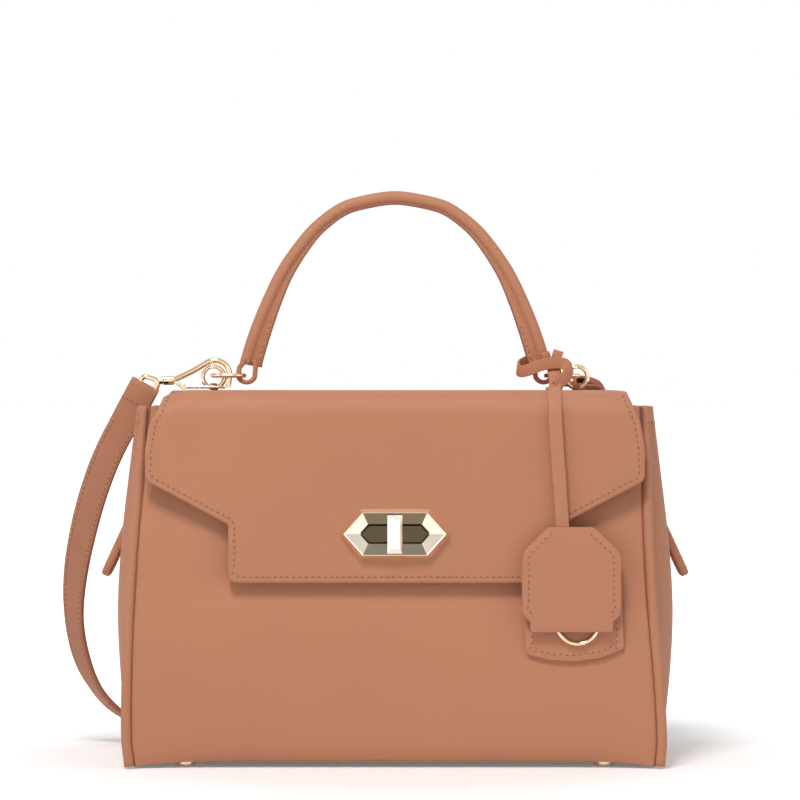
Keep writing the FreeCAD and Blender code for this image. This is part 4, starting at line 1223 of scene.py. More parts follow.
@dataclass
class Flap(Dresser):
    """The flap's leather, lining and stitches."""

    shape: FlapShape = field(default_factory=FlapShape)
    rows: tuple = ((175, 146, 22), (145.5, 118, 54), (117.5, 98, 28), (97.7, 92.02, 24))
    columns: int = 193
    seam: float = 3.3 * MM
    seam_top: float = 186.0 * MM
    gap: float = 0.05 * MM
    lining_inset: float = 0.5 * MM
    bevel: float = 0.35 * MM

    def build(self) -> None:
        """Make both layers and the stitches along their edge."""
        shape = self.shape
        self.sheet("flap_leather", 0.0, shape.outer, 0.0, "flap_outer", Slot.LEATHER, self.finishes.leather)
        self.sheet("flap_lining_leather", shape.outer + self.gap, shape.outer + shape.lining,
                   self.lining_inset, "flap_lining", Slot.LINING, self.finishes.edge)
        outline = inset_outline(shape.outline(), self.seam)
        line = resample(from_widest_gap(outline[outline[:, 1] < self.seam_top]), 1.0 * MM)
        straight = shape.top - shape.bend
        bent = shape.run_of(straight) - np.arcsin(ramp(line[:, 1], straight, shape.bend)) * shape.bend
        y, z, ny, nz = shape.profile(np.where(line[:, 1] > straight, bent, shape.run_of(line[:, 1])))
        hang = shape.droop(line[:, 0], y, z)
        path = joined(line[:, 0], y + ny * SEWN, z + nz * SEWN - hang)
        self.sew("flap_stitches", "flap", (path, joined(0.0, ny, nz)))

    def sheet(self, name: str, near: float, far: float, inset: float, node: str, slot: Slot,
              material: Material) -> None:
        """One layer: rows run from the hinge over the bend to the tongue, each as wide as the outline there.

        Args:
            name: the piece's name.
            near: depth of the layer's outer face.
            far: depth of its inner face.
            inset: how far its outline is drawn in.
            node: the CAD node it stands for.
            slot: the record's material slot.
            material: the finish.
        """
        shape = self.shape
        drop = np.maximum(np.concatenate([np.linspace(*row) for row in self.rows]) * MM, shape.low + inset)
        run = np.concatenate([np.linspace(0, shape.flat, 28)[:-1],
                              shape.flat + np.linspace(0, np.pi / 2, 16)[:-1] * shape.bend, shape.run_of(drop)])
        y, z, ny, nz = (values[:, None] for values in shape.profile(run))
        half = shape.half_width(np.where(run < shape.flat, shape.top, z[:, 0]))[:, None] - inset
        x = half * crowded(np.linspace(-1, 1, self.columns), 1.3)
        droop = shape.droop(x, y, z)
        away = np.minimum(half - np.abs(x), shape.edge_distance(x, z, inset))
        turn = np.clip(1 - away / shape.edge, 0, 1)
        rounding = shape.edge * (1 - np.sqrt(1 - turn**2)) * (0.9 if slot is Slot.LEATHER else 0.0)
        outer, inner = (joined(x, y - ny * depth, z - nz * depth - droop) for depth in (near + rounding, far))
        middle = (outer[:-1, :-1] + outer[1:, 1:]) / 2
        wide = np.abs(middle[..., 0]) / shape.lock_half[0]
        high = np.abs(middle[..., 2] - shape.lock_z) / shape.lock_half[1]
        hole = (wide + high * 0.28 < 1) & (high < 1) & (middle[..., 1] < shape.bend - shape.front)
        self.place(slab(name, outer, inner, material, self.bevel, hole), "flap", slot, node)


@dataclass
class Hinge(Dresser):
    """Leather that runs from the back panel over the hinge to the flap's top."""

    half: float = 116.0 * MM
    thick: float = 1.5 * MM
    line: Array = table([[48.6, 136], [46.6, 150], [44.6, 165], [42.9, 178], [42.4, 184.2], [41.6, 187.0],
                         [39.9, 188.0], [38.2, 188.05]], MM)
    start: tuple = (0.0, 0.0426, 0.1835)
    end: tuple = (0.0, 0.0396, 0.188)
    seams: tuple = (3, 7)

    def build(self) -> None:
        """Sweep a line up the back and over the hinge, as a sheet."""
        line = curve_through(self.line, 60)
        along = tangents(line)
        out = np.stack([along[:, 1], -along[:, 0]], axis=1)
        x = np.linspace(-self.half, self.half, 90)[None]
        outer, inner = (joined(x, row[:, :1], row[:, 1:]) for row in (line, line - out * self.thick))
        item = slab("hinge_leather", outer, inner, self.finishes.leather, 0.4 * MM)
        self.bridge(item, "bag_body", "flap", self.start, self.end, "hinge_strip", "flap_hinge_roll")
        normals = [np.array([0.0, *out[seam]]) for seam in self.seams]
        sewn = self.stitched("hinge_stitches", *((outer[seam, 2:-2] + normal * SEWN, normal)
                                                 for seam, normal in zip(self.seams, normals)))
        self.bridge(sewn, "bag_body", "flap", self.start, self.end)


@dataclass
class StrapRoute:
    """The shoulder strap's route: control points in decimetres, each with its width direction."""

    width: float = 15.0 * MM
    thick: float = 2.6 * MM
    left_tip: tuple = (-132.64 * MM, -9.4 * MM, 181.58 * MM)
    right_tip: tuple = (96.62 * MM, 41.52 * MM, 193.0 * MM)
    left_across: tuple = (-0.88, 0.0, 0.47)
    right_across: tuple = (0.7071, -0.7071, 0.0)
    hang: Array = table([
        [-1.372, -0.09, 1.73, -0.88, 0.1, 0.46], [-1.44, -0.06, 1.62, -0.88, 0.2, 0.4],
        [-1.52, 0.0, 1.45, -0.9, 0.25, 0.38], [-1.6, 0.1, 1.22, -0.9, 0.35, 0.3],
        [-1.67, 0.24, 0.94, -0.8, 0.55, 0.2], [-1.695, 0.36, 0.7, -0.65, 0.75, 0.1],
        [-1.665, 0.47, 0.47, -0.6, 0.8, 0.0], [-1.6, 0.56, 0.3, -0.5, 0.85, 0.1],
        [-1.48, 0.66, 0.15, -0.5, 0.85, 0.05], [-1.28, 0.76, 0.06, -0.4, 0.9, 0.0],
        [-1.0, 0.84, 0.03, -0.25, 0.97, 0.0], [-0.6, 0.88, 0.018, -0.1, 1.0, 0.0]])
    floor: Array = table([
        [0.0, 0.89, 0.018], [0.5, 0.88, 0.018], [0.72, 0.88, 0.03], [0.83, 0.88, 0.11], [0.7, 0.88, 0.17],
        [0.35, 0.87, 0.075], [-0.1, 0.87, 0.065], [-0.38, 0.87, 0.08], [-0.5, 0.87, 0.17],
        [-0.37, 0.87, 0.25], [-0.05, 0.86, 0.14], [0.35, 0.85, 0.13]])
    rise: Array = table([
        [0.68, 0.83, 0.24, 0.1, 1.0, 0.0], [0.9, 0.79, 0.4, 0.3, 0.95, 0.0], [1.03, 0.74, 0.65, 0.6, 0.8, 0.0],
        [1.08, 0.69, 0.9, 0.9, 0.4, 0.0], [1.1, 0.66, 1.3, 1.0, 0.1, 0.0], [1.09, 0.6, 1.63, 0.95, -0.25, 0.0],
        [1.065, 0.545, 1.85, 0.8, -0.55, 0.0], [1.02, 0.475, 1.925, 0.75, -0.66, 0.0]])

    def points(self) -> tuple:
        """Control points of the spline and the strap's width direction at each.

        Returns:
            Points and width directions.
        """
        floor = np.hstack([self.floor, np.tile(Y_AXIS, (len(self.floor), 1))])
        middle = np.vstack([self.hang, floor, self.rise])
        points = np.vstack([self.left_tip, middle[:, :3] * 0.1, self.right_tip])
        return points, np.vstack([self.left_across, middle[:, 3:], self.right_across])


@dataclass
class Strap(Dresser):
    """The shoulder strap and the folds that hold it to the swivel eyes."""

    route: StrapRoute = field(default_factory=StrapRoute)
    length: float = 0.88
    seam: float = 1.9 * MM
    reach: float = 8.5 * MM
    layer: float = 1.5 * MM
    bare: float = 2.1 * MM
    tip: float = 0.45 * MM
    fold_run: float = 15.0 * MM
    fold_step: float = 0.7 * MM
    edge: float = 0.9 * MM
    left_along: Array = table([-0.47, 0.0, -0.88])
    right_along: Array = table([0.7071, 0.7071, 0.0])

    def spline(self, points: Array) -> Array:
        """Points read from a smooth spline with the route's points as its control points.

        Args:
            points: the control points.

        Returns:
            Places along the spline.
        """
        data = bpy.data.curves.new("strap_route", "CURVE")
        data.dimensions = "3D"
        line = data.splines.new("NURBS")
        line.points.add(len(points) - 1)
        line.points.foreach_set("co", np.hstack([points, np.ones((len(points), 1))]).ravel())
        line.order_u = 3
        line.use_endpoint_u = True
        line.resolution_u = 16
        guide = bpy.data.objects.new("strap_route", data)
        bpy.context.scene.collection.objects.link(guide)
        mesh = bpy.data.meshes.new_from_object(guide)
        places = np.empty(len(mesh.vertices) * 3)
        mesh.vertices.foreach_get("co", places)
        bpy.data.objects.remove(guide)
        bpy.data.meshes.remove(mesh)
        bpy.data.curves.remove(data)
        return places.reshape(-1, 3)

    def build(self) -> None:
        route = self.route
        points, widths = route.points()
        path = self.spline(points)
        last = len(points) - 2.0
        knots = np.concatenate([[0.0], np.arange(1, len(points) - 1) - 0.5, [last]])
        along = tangents(path)
        across = square_to(read_at(np.linspace(0.0, last, len(path)), knots, unit(widths)), along)
        out = np.cross(along, across)
        strap = sweep("shoulder_strap", path, across, strip_profile(route.width, route.thick, self.edge),
                      self.finishes.strap_leather)
        inset, lift = route.width / 2 - self.seam, route.thick / 2 + 0.02 * MM
        rows = [((path + across * edge * inset + out * face * lift)[3:-3], out[3:-3] * face)
                for face in (-1.0, 1.0) for edge in (-1.0, 1.0)]
        sewn = self.stitched("strap_stitches", *rows)
        ends = (0.0, 0.0, 0.03), (0.0, 0.0, 0.18)
        self.bridge(strap, "bag_body", "flap", *ends, "strap_left", "strap_floor", "strap_right")
        self.bridge(sewn, "bag_body", "flap", *ends)
        LOG.info("shoulder strap along %.3f m", distances(path)[-1])
        places = [tuple(place) for place in [*path[::4].tolist(), path[-1].tolist()]]
        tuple(route.left_tip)
        self.fold("left", unit(self.left_along), path, across)
        self.fold("right", unit(self.right_along), path[::-1], across[::-1])

    def fold(self, name: str, along: Array, path: Array, across: Array) -> None:
        """Strap end turned round its eye's bar: a layer on each face of the strap, joined by a half turn.

        Args:
            name: left or right.
            along: direction from the bar to the strap's first place.
            path: the strap's places, from this end.
            across: the strap's width direction at each place.
        """
        both = read_at(np.linspace(0.0, self.fold_run, 12), distances(path), np.hstack([path, across]))
        near, wide = both[:, :3], both[:, 3:]
        bar = path[0] - along * self.reach
        line = curve_through(np.vstack([bar, bar + along * 4.0 * MM, near[5], near[8], near[-1]]), 18)
        ahead = tangents(line)
        wide = square_to(np.vstack([np.repeat(wide[:1], 6, axis=0), wide]), ahead)
        out = np.cross(ahead, wide)
        gap = np.interp(np.arange(18), [0, 5, 17], [self.bare, self.bare, self.tip])[:, None]
        turn = np.linspace(0, np.pi, 14)[1:-1, None]
        cap = bar + (out[0] * np.cos(turn) - ahead[0] * np.sin(turn)) * self.bare
        upper, lower = line + out * gap, line - out * gap
        whole = np.hstack([np.vstack([upper[::-1], cap, lower]),
                           np.vstack([wide[::-1], np.repeat(wide[:1], len(cap), axis=0), wide])])
        whole = resample(whole, self.fold_step)
        item = sweep(name + "_strap_fold", whole[:, :3], unit(whole[:, 3:]),
                     strip_profile(self.route.width + 0.2 * MM, self.layer, 0.5 * MM), self.finishes.strap_leather)
        reach = wide[6] * (self.route.width / 2 - self.seam)
        rows = []
        for face, spot in ((1.0, upper[6]), (-1.0, lower[6])):
            middle = spot + out[6] * face * (self.layer / 2 + 0.05 * MM)
            rows.append((np.linspace(middle - reach, middle + reach, 5), out[6] * face))
        sewn = self.stitched(name + "_fold_stitches", *rows)
        ends = tuple(bar.tolist()), tuple(path[0].tolist())
        self.bridge(item, name + "_eye", "flap", *ends, name + "_strap_end")
        self.bridge(sewn, name + "_eye", "flap", *ends)


@dataclass
class Handle(Dresser):
    """The top handle: a rolled tube with a stitched flange, and the loops at its ends."""

    centre: Array = table([[0, 1], [0.204, 0.974], [0.349, 0.934], [0.495, 0.842], [0.599, 0.747], [0.749, 0.556],
                           [0.854, 0.365], [0.941, 0.169], [1.0, 0.0], [1.006, -0.027]])
    depth: Array = table([0.45, 0.45, 0.47, 0.5, 0.56, 0.68, 0.82, 0.95, 1.0, 1.02], 8.0 * MM)
    section: Array = table([[0.12, 1.0], [0.75, 1.0], [0.93, 0.86], [1.0, 0.5], [1.0, -0.5], [0.93, -0.86],
                            [0.75, -1.0], [0.12, -1.0]])
    reach: float = 76.0 * MM
    rise: float = 83.4 * MM
    foot: float = 203.4 * MM
    y: float = -8.0 * MM
    tube: float = 3.1 * MM
    leaf: float = 1.35 * MM
    neck: float = 52.0
    loop_thick: float = 2.3 * MM
    loop_half: float = 5.7 * MM
    loop_low: float = 190.9 * MM
    loop_width: float = 7.4 * MM
    seam: float = 1.5 * MM
    paint: tuple = (0.7 * MM, 0.3 * MM)

    def build(self) -> None:
        """Sweep a drop-shaped section along the arch: a round top that narrows to a flat flange inside."""
        places = self.centre * np.array([self.reach, self.rise]) + np.array([0.0, self.foot])
        right = np.hstack([places, self.depth[:, None]])
        fine = curve_through(np.vstack([right[::-1] * np.array([-1, 1, 1]), right[1:]]), 160)
        path = joined(fine[:, 0], self.y, fine[:, 1])
        out = unit(np.cross(tangents(path), Y_AXIS))
        out = out * np.sign(np.sum(out * (path - np.array([0, self.y, 0.2])), axis=1, keepdims=True))
        turn = np.radians(np.linspace(-self.neck, 180 + self.neck, 26))
        arc = np.broadcast_to(joined(np.cos(turn), np.sin(turn)) * self.tube, (len(path), 26, 2))
        deep = -fine[:, 2:]
        neck = -self.tube * math.sin(math.radians(self.neck))
        leaf = joined(-self.section[:, 1] * self.leaf, neck + (deep - neck) * self.section[:, 0])
        profile = np.concatenate([arc, leaf], axis=1)
        item = sweep("handle_leather", path, Y_AXIS, profile, self.finishes.leather, out)
        self.place(item, "handle", Slot.LEATHER, "handle_cover", "handle_flange")
        self.edge_line(path, out, deep)
        for side in Side:
            self.loop(side)

    def edge_line(self, path: Array, out: Array, deep: Array) -> None:
        """Painted edge inside the flange and a few stitches near both of its ends.

        Args:
            path: the arch.
            out: outward direction at each place.
            deep: the flange's depth at each place.
        """
        edge = sweep("handle_edge", path + out * deep, Y_AXIS,
                     strip_profile(2 * self.leaf * 0.96, *self.paint), self.finishes.edge, out)
        self.place(edge, "handle", Slot.LEATHER)
        middle = path + out * (deep + self.seam)
        rows = [((middle + Y_AXIS * face * (self.leaf + 0.02 * MM))[keep], Y_AXIS * face)
                for keep in (slice(2, 16), slice(-16, -2)) for face in (-1.0, 1.0)]
        self.sew("handle_stitches", "handle", *rows)

    def loop(self, side: Side) -> None:
        """Strip loop below a handle end: a tall rounded ring of leather round the link.

        Args:
            side: left or right.
        """
        half = self.loop_half - self.loop_thick / 2
        low = self.loop_low + self.loop_thick / 2
        bend = np.radians(np.linspace(180, 360, 24))[3:-4]
        ring = joined(np.cos(bend) * half, low + half + np.sin(bend) * half)
        ends = np.array([[-0.85, 0.2], [-1.0, -2.5], [0.80, -4.0], [0.35, -1.2], [0.15, 1.2]])
        ends = ends * np.array([half, MM]) + np.array([0.0, self.foot])
        ring = resample(curve_through(np.vstack([ends[:2], ring, ends[2:]]), 60), 0.7 * MM)
        path = joined(side.value * (self.reach + ring[:, 0]), self.y, ring[:, 1])
        item = sweep(side.label + "_loop_leather", path, Y_AXIS,
                     strip_profile(self.loop_width, self.loop_thick, 0.8 * MM), self.finishes.leather)
        self.place(item, "handle", Slot.LEATHER, side.label + "_handle_loop")


@dataclass
class Tag(Dresser):
    """The hang tag: hitch on the handle, strap over the flap, two leather layers."""

    flap: FlapShape = field(default_factory=FlapShape)
    centre: Array = table([87.0, 85.0], MM)
    half: Array = table([25.0, 35.0], MM)
    front: Array = table([[-0.44, 1], [0.46, 1], [1, 0.63], [1, -0.23], [0.84, -0.34], [0.84, -0.486],
                          [-0.8, -0.486], [-0.8, -0.34], [-0.96, -0.23], [-0.96, 0.63]])
    front_radii: Array = table([4, 4, 9, 3, 1, 1.2, 1.2, 1, 3, 9], MM)
    back: Array = table([[-0.44, 1], [0.46, 1], [1, 0.63], [1.03, 0.0], [1.07, -0.73], [0.60, -0.86], [0.07, -0.91],
                         [-0.45, -0.885], [-0.87, -0.81], [-0.96, 0.0], [-0.96, 0.63]])
    back_radii: Array = table([4, 4, 9, 6, 2.5, 6, 6, 6, 2.5, 6, 9], MM)
    band: Array = table([[81.6, -20.6, 190.2], [85.4, -18.2, 193.4], [88.2, -15.6, 197.4], [87.2, -15.0, 200.8],
                         [82.0, -15.6, 202.0], [74.5, -16.0, 200.8], [68.0, -15.2, 198.4], [64.0, -13.0, 197.6],
                         [62.8, -9.6, 199.4], [66.0, -4.8, 202.0], [72.0, -2.6, 203.4], [79.0, -2.8, 203.4]], MM)
    band_centre: Array = table([75.5, -9.0, 200.0], MM)
    strand: Array = table([[80.2, -13.7, 200.6], [80.8, -14.3, 198.0], [81.2, -16.4, 195.6], [81.4, -18.4, 192.2],
                           [81.2, -21.6, 189.6], [79.8, -27.5, 188.9]], MM)
    ends: Array = table([[[77.6, -13.6, 199.5], [77.2, -13.8, 204.5], [76.4, -13.6, 207.4]],
                         [[81.2, -13.9, 199.5], [82.2, -14.2, 204.5], [83.4, -14.0, 208.2]]], MM)
    front_y: float = -62.0 * MM
    back_y: float = -57.9 * MM
    leaf_thick: float = 1.5 * MM
    leaf_edge: float = 0.45 * MM
    strip: float = 6.6 * MM
    strip_x: float = 79.5 * MM
    strip_thick: float = 1.15 * MM
    strip_start: float = 24.0 * MM
    strip_drop: float = 173.0 * MM
    thick: float = 1.2 * MM
    band_width: float = 6.0 * MM
    end_width: float = 5.2 * MM
    bow: float = 0.5 * MM
    seam: float = 3.4 * MM
    side_seam: tuple = (-8.5 * MM, 30.5 * MM)
    side_from: float = 4.0 * MM
    foot_seam: float = -11.0 * MM

    def build(self) -> None:
        """Make the layers, the strap's two runs and the hitch."""
        self.leaf("tag_cover", self.front, self.front_radii, self.front_y, "tag_front", True)
        self.leaf("tag_base", self.back, self.back_radii, self.back_y, "tag_back", False)
        run = np.linspace(self.flap.back + self.strip_start, self.flap.run_of(self.strip_drop), 60)
        y, z, ny, nz = self.flap.profile(run)
        for name, gap, deep, nodes in (("front", 0.2, -59.75, ("tag_strap_top", "tag_strap_drop")),
                                       ("back", 0.0, -58.55, ())):
            lift = np.interp(run, [run[0], run[-20], run[-1]], [0.75, 0.8 + gap, 1.9 + gap * 4]) * MM
            over = joined(self.strip_x, y + ny * lift, z + nz * lift)
            drop = np.array([[79.9, deep + 0.3, 166], [81.0, deep, 150], [83.2, deep, 118],
                             [85.5, deep, 84.5]]) * MM
            path = np.vstack([over if nodes else over[-14:], curve_through(np.vstack([over[-1:], drop]), 40)[1:]])
            item = self.ribbon("tag_strap_" + name, path, X_AXIS, self.strip, self.strip_thick)
            self.bridge(item, "flap", "tag", (0.0795, -0.058, 0.176), (0.0795, -0.058, 0.164), *nodes)
        self.hitch()

    def leaf(self, name: str, shares: Array, radii: Array, y: float, node: str, cover: bool) -> None:
        """One layer of the tag: a plate with a rounded rim that bows a little forward in the middle.

        Args:
            name: the piece's name.
            shares: corners in shares of the half sizes.
            radii: the corner radii.
            y: the front face's place.
            node: the CAD node it stands for.
            cover: whether it is the front layer, sewn along its sides, or the back one, sewn round its foot.
        """
        outline = resample(rounded_outline(shares * self.half, radii, 10), 0.8 * MM, closed=True)

        def lift(flat: Array, depth: float) -> Array:
            """Places of the layer in space."""
            swell = self.bow * (1 - np.clip(np.abs(flat[:, 0]) / self.half[0], 0, 1) ** 2)
            return joined(flat[:, 0] + self.centre[0], y - swell + self.bow + depth, flat[:, 1] + self.centre[1])

        item = plate(name, outline, lift, self.leaf_thick, self.leaf_edge, self.finishes.leather)
        self.place(item, "tag", Slot.LEATHER, node)
        row = inset_outline(outline, self.seam)
        if cover:
            long = row[(row[:, 1] > self.side_seam[0]) & (row[:, 1] < self.side_seam[1])]
            runs = [long[long[:, 0] * side.value > self.side_from] for side in Side]
            runs = [run[np.argsort(run[:, 1])] for run in runs]
        else:
            runs = [from_widest_gap(row[row[:, 1] < self.foot_seam])]
        self.sew(name + "_stitches", "tag", *((lift(run, -0.05 * MM), -Y_AXIS) for run in runs))

    def ribbon(self, name: str, path: Array, across: Array, width: float, thick: float) -> Item:
        """Flat strip along a path.

        Args:
            name: the piece's name.
            path: places along its middle.
            across: its width direction.
            width: its width.
            thick: its thickness.

        Returns:
            The strip.
        """
        path = resample(path, 1.0 * MM)
        across = square_to(np.broadcast_to(across, path.shape), tangents(path))
        return sweep(name, path, across, strip_profile(width, thick, thick * 0.3), self.finishes.leather)

    def hitch(self) -> None:
        """Band round the right handle loop, the strand that leaves it for the flap, and two short ends."""
        path = resample(curve_through(self.band, 160), 0.8 * MM)
        out = unit((path - self.band_centre) * np.array([0.35, 1.0, 0.0]))
        band = sweep("tag_hitch_band", path, unit(np.cross(out, tangents(path))),
                     strip_profile(self.band_width, self.thick, 0.4 * MM), self.finishes.leather)
        self.bridge(band, "flap", "handle", (0.0816, -0.0206, 0.1902), (0.0870, -0.0152, 0.1985), "tag_hitch")
        strand = self.ribbon("tag_hitch_strand", curve_through(self.strand, 40), X_AXIS, self.strip - 0.2 * MM,
                             self.thick)
        self.bridge(strand, "handle", "flap", (0.079, -0.017, 0.197), (0.079, -0.020, 0.190))
        for name, line, across in zip(("first", "second"), self.ends, (np.array([0.8, 0.6, 0.1]), X_AXIS)):
            item = self.ribbon("tag_hitch_%s_end" % name, curve_through(line, 16), across, self.end_width,
                               self.thick)
            self.place(item, "handle", Slot.LEATHER)


@dataclass
class Zip(Dresser):
    """The open zip: facings, tapes, tails and the tabs at the sides."""

    tail: Array = table([[95.6, 172.3], [102.7, 181.6], [117.0, 181.6], [127.1, 150.3], [135.9, 120.6],
                         [141.0, 107.0]], MM)
    tail_size: tuple = (19.0 * MM, 1.5 * MM, 0.5 * MM)
    tab_start: Array = table([135.4, 121.8], MM)
    tab_end: Array = table([148.7, 93.1], MM)
    tab_half: float = 10.9 * MM
    tab_thick: float = 4.3 * MM
    tab_lift: float = 2.2 * MM
    tab_edge: float = 1.1 * MM
    tab_seam: float = 2.4 * MM
    tab_radii: Array = table([7, 7, 3, 3], MM)
    tape_thick: float = 0.8 * MM
    sag: float = 0.8 * MM
    tooth: Array = table([0.65, 1.5, 0.95], MM)
    teeth_run: tuple = (-80.0, 94.0, 2.4)
    bead: tuple = (20.9 * MM, 172.6 * MM)
    tape_half: float = 97.0 * MM

    def build(self) -> None:
        """Make the facings and tapes of both sides, then the tails and tabs."""
        for face in Face:
            self.strip(face, face.label + "_zip_facing", Slot.LEATHER, self.finishes.leather)
            self.strip(face, face.label + "_zip_tape", Slot.TAPE, self.finishes.tape)
            self.teeth(face)
        for side in Side:
            self.end(side)

    def strip(self, face: Face, node: str, slot: Slot, material: Material) -> None:
        """Flat strip in its node's box that sags a little between its ends.

        Args:
            face: front or back.
            node: the CAD node it stands for.
            slot: the record's material slot.
            material: the finish.
        """
        low, high = (np.array(corner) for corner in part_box(node))
        x = np.linspace(low[0], high[0], 90)[None]
        y = np.linspace(low[1], high[1], 12)[:, None]
        inner = (y - low[1]) / (high[1] - low[1])
        inner = inner if face is Face.FRONT else 1 - inner
        sag = self.sag * inner * np.cos(x / high[0] * np.pi / 2) ** 0.5
        facing = slot is Slot.LEATHER
        upper = joined(x, y, (high[2] if facing else low[2] + self.tape_thick) - sag)
        item = slab(node.replace("zip_", "") + "_sheet", upper, joined(x, y, low[2] - sag), material, 0.2 * MM)
        self.place(item, "bag_body", slot, node)
        if facing:
            row = upper[9 if face is Face.FRONT else 2, 2:-2] + Z_AXIS * SEWN
            self.sew(node + "_stitches", "bag_body", (row, Z_AXIS))

    def teeth(self, face: Face) -> None:
        """Row of small metal teeth along a tape's bead, one block repeated.

        Args:
            face: front or back.
        """
        spots = np.arange(*self.teeth_run) * MM
        corner = np.array([[a, b, c] for c in (-1, 1) for b in (-1, 1) for a in (-1, 1)], float)
        sag = self.sag * np.cos(spots / self.tape_half * np.pi / 2) ** 0.5
        middle = joined(spots, face.value * self.bead[0], self.bead[1] - sag)
        points = (middle[:, None] + corner * self.tooth).reshape(-1, 3)
        quads = np.array([[0, 2, 3, 1], [4, 5, 7, 6], [0, 1, 5, 4], [2, 6, 7, 3], [0, 4, 6, 2], [1, 3, 7, 5]])
        every = (quads[None] + (np.arange(len(spots)) * 8)[:, None, None]).reshape(-1, 4)
        item = mesh_object(face.label + "_zip_teeth", points, every, self.finishes.gold, smooth=False)
        self.place(item, "bag_body", Slot.METAL)

    def end(self, side: Side) -> None:
        """Tape tail over the gusset and the stitched leather tab at its end.

        Args:
            side: left or right.
        """
        nodes = ("zip_tails", "zip_end_tabs") if side is Side.LEFT else ()
        line = curve_through(self.tail, 90)
        tail = sweep(side.label + "_zip_tail", joined(side.value * line[:, 0], 0.0, line[:, 1]), Y_AXIS,
                     strip_profile(*self.tail_size), self.finishes.tape)
        self.place(tail, "bag_body", Slot.TAPE, *nodes[:1])
        step = self.tab_end - self.tab_start
        middle, long = (self.tab_start + self.tab_end) / 2, unit(step)
        out = np.array([-long[1], long[0]])
        corners = box_corners(self.tab_half, float(np.linalg.norm(step)) / 2)
        outline = rounded_outline(corners, self.tab_radii, 10)
        outline = resample(outline, 0.8 * MM, closed=True)

        def lift(flat: Array, depth: float) -> Array:
            """Places of the tab in space: down its run and out from the gusset."""
            spot = middle - flat[:, 1:] * long + (self.tab_lift - depth) * out
            return joined(side.value * spot[:, 0], flat[:, 0], spot[:, 1])

        tab = plate(side.label + "_zip_tab", outline, lift, self.tab_thick, self.tab_edge,
                    self.finishes.leather)
        self.place(tab, "bag_body", Slot.LEATHER, *nodes[1:])
        row = inset_outline(outline, self.tab_seam)
        normal = np.array([side.value * out[0], 0.0, out[1]])
        self.sew(side.label + "_tab_stitches", "bag_body", (lift(row, 0.06 * MM), normal, True),
                 (lift(row, self.tab_thick - 0.06 * MM), -normal, True))


@dataclass
class Lining(Dresser):
    """The cloth inside: walls, floor and the pocket on the back."""

    shape: BodyShape = field(default_factory=BodyShape)
    offset: float = 2.15 * MM
    thick: float = 0.7 * MM
    low: float = 7.4 * MM
    high: float = 170.9 * MM
    dent: tuple = (91 * MM, 13 * MM, 2.4 * MM)
    under: tuple = (22 * MM, 7.0 * MM)
    floor_half: tuple = (128.0 * MM, 50.5 * MM)
    floor_z: tuple = (7.7 * MM, 6.9 * MM)
    puff: float = 0.4 * MM
    pocket_in: float = 3.6 * MM
    pocket_thick: float = 0.55 * MM
    pocket_gap: float = 1.6 * MM
    pocket_open: tuple = (80 * MM, 50 * MM)
    binding: tuple = (7.0 * MM, 1.0 * MM, 0.35 * MM)
    pocket_half: float = 70.0 * MM
    pocket_z: tuple = (40.0 * MM, 130.0 * MM)

    def ring(self, offset: float, count: int) -> Array:
        """Rings of the inner wall: the panels' and gussets' curves, moved in by an offset.

        Args:
            offset: distance inside the outer leather.
            count: how many levels.

        Returns:
            Rings of places, one for each level.
        """
        z, x, y, bulge, fold = self.shape.levels(count)
        z = np.clip(z, self.low, self.high)
        across, t = np.linspace(-1, 1, 60), np.linspace(-1, 1, 44)
        wide, deep, level = (x - offset)[:, None], (y - offset)[:, None], z[:, None]
        dent = hump(level, *self.dent) * (1 - across**4)
        dent = dent + fade(level - self.shape.z[0], *self.under) * (1 - across**8)
        front = joined(wide * across, dent - deep, level)
        side = joined(self.shape.gusset_x((z, x, y, bulge, fold), t) - offset, deep * t, level)
        half_turn = np.array([-1, -1, 1])
        parts = (front, side, front * half_turn, side * half_turn)
        rings = np.concatenate([part[:, :-1] for part in parts], axis=1)
        right = np.clip(rings[..., 0] / (125 * MM), 0, 1) ** 2
        ahead = np.clip(-rings[..., 1] / deep, 0, 1) ** 0.5
        rings[..., 0] += self.shape.drawn_in(count)[:, None] * right * ahead * 1.35
        return rings

    def build(self) -> None:
        """Close the walls as one sleeve, then add the floor and the pocket."""
        outer, inner = self.ring(self.offset, 60), self.ring(self.offset + self.thick, 60)
        wall = shell("lining_wall", np.concatenate([outer, inner[::-1], outer[:1]]), self.finishes.lining)
        self.place(wall, "bag_body", Slot.LINING, "lining")
        x = np.linspace(-1, 1, 60)[None] * self.floor_half[0]
        y = np.linspace(-1, 1, 30)[:, None] * self.floor_half[1]
        puff = self.puff * np.cos(x / self.floor_half[0] * np.pi * 2.5) * np.cos(y / (55 * MM) * np.pi * 1.5)
        upper, lower = joined(x, y, self.floor_z[0] + puff), joined(x, y, self.floor_z[1])
        floor = slab("lining_floor", upper, lower, self.finishes.lining)
        self.place(floor, "bag_body", Slot.LINING)
        self.pocket()

    def pocket(self) -> None:
        """Patch pocket on the back wall, with a bound upper edge that stands open a little."""
        z = np.linspace(*self.pocket_z, 50)[:, None]
        x = np.linspace(-1, 1, 70) * self.pocket_half
        levels = np.linspace(self.shape.z[0], self.shape.z[-1], 400)
        wall = np.interp(z, levels, self.shape.levels(400)[2]) - self.pocket_in
        bow = (1 - (x / self.pocket_half) ** 2) * self.pocket_gap * ramp(z, *self.pocket_open) ** 2
        face = joined(x, wall - bow, z)
        item = slab("pocket_cloth", face, face + Y_AXIS * self.pocket_thick, self.finishes.lining,
                    0.15 * MM)
        self.place(item, "bag_body", Slot.LINING, "inner_pocket")
        bound = sweep("pocket_binding", face[-1], Z_AXIS, strip_profile(*self.binding), self.finishes.leather)
        self.place(bound, "bag_body", Slot.LEATHER)


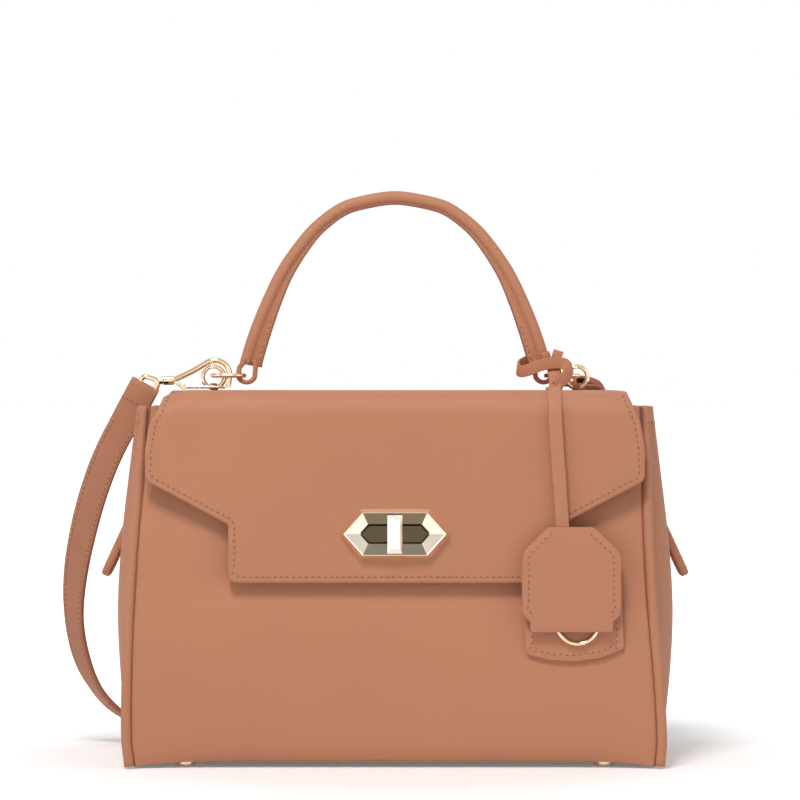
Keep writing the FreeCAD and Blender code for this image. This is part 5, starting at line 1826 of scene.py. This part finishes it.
@dataclass
class Hardware(Dresser):
    """Metal and stiff parts that keep their CAD shape, and the leather tabs of the base rings."""

    gold: tuple = ("base_feet", "lock_frame_back", "lock_frame_screws", "left_base_ring", "right_base_ring",
                   "left_hook", "right_hook", "gate_pins", "left_link", "right_link", "key_ring", "left_gate",
                   "right_gate", "left_swivel_eye", "right_swivel_eye", "zip_pull", "zip_slider", "foot_washers")
    stiff: tuple = ("base_board", "handle_core", "lock_boss_plate")
    # The lock boss takes near-black metal, painted shade inside the lock's window
    dark: tuple = ("lock_boss",)
    lock: tuple = ("lock_frame",)
    # The turn knob takes a whiter gold, a painted highlight
    bright: tuple = ("turn_knob",)
    arch: float = -5.6 * MM
    foot: float = 1.25 * MM
    strip: float = 0.85 * MM

    def build(self) -> None:
        """Give every kept node its material, then make the ring tabs."""
        for names, material in ((self.gold, self.finishes.gold), (self.stiff, self.finishes.board),
                                (self.dark, self.finishes.dark_gold), (self.lock, self.finishes.lock_gold),
                                (self.bright, self.finishes.painted_highlight_gold)):
            for name in names:
                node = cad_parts[name]
                node.data.materials.clear()
                node.data.materials.append(material)
            LOG.info("%s on %d kept nodes", material.name, len(names))
        for side in Side:
            self.ring_tab(side)

    def ring_tab(self, side: Side) -> None:
        """Leather tab over a base ring: a strip over an arch with two feet on the flap.

        Args:
            side: left or right.
        """
        name = side.label + "_ring_tab"
        low, high = (np.array(corner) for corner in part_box(name))
        radius = high[2] - 0.45 * MM - low[2] - self.foot
        turn = np.radians(np.linspace(180, 0, 18))
        ring = joined(self.arch + np.cos(turn) * radius, low[2] + self.foot + np.sin(turn) * radius)
        ends = np.array([[low[1] + 0.2 * MM, low[2] + 0.5 * MM],
                         [self.arch + radius + 0.9 * MM, low[2] + 0.6 * MM],
                         [high[1] - 0.2 * MM, low[2] + 0.5 * MM]])
        line = resample(np.vstack([ends[:1], ring, ends[1:]]), 0.4 * MM)
        item = sweep(name + "_leather", joined((low[0] + high[0]) / 2, line[:, 0], line[:, 1]), X_AXIS,
                     strip_profile(high[0] - low[0], self.strip, 0.3 * MM), self.finishes.leather)
        self.place(item, "flap", Slot.LEATHER, name)


def main() -> None:
    """Build the studio and every sub-assembly, then gather the CAD and visual bounds."""
    finishes = Finishes()
    Studio().build()
    for kind in (Strap, Body, Lining, Zip, Hinge, Flap, Handle, Tag, Hardware):
        kind(finishes).build()
        LOG.info("%s done", kind.__name__)
    boxes = {"cad": CAD_BOX, "visual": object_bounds()}
    {name: [[float(v) for v in corner] for corner in box] for name, box in boxes.items()}


if __name__ == "__main__":
    main()
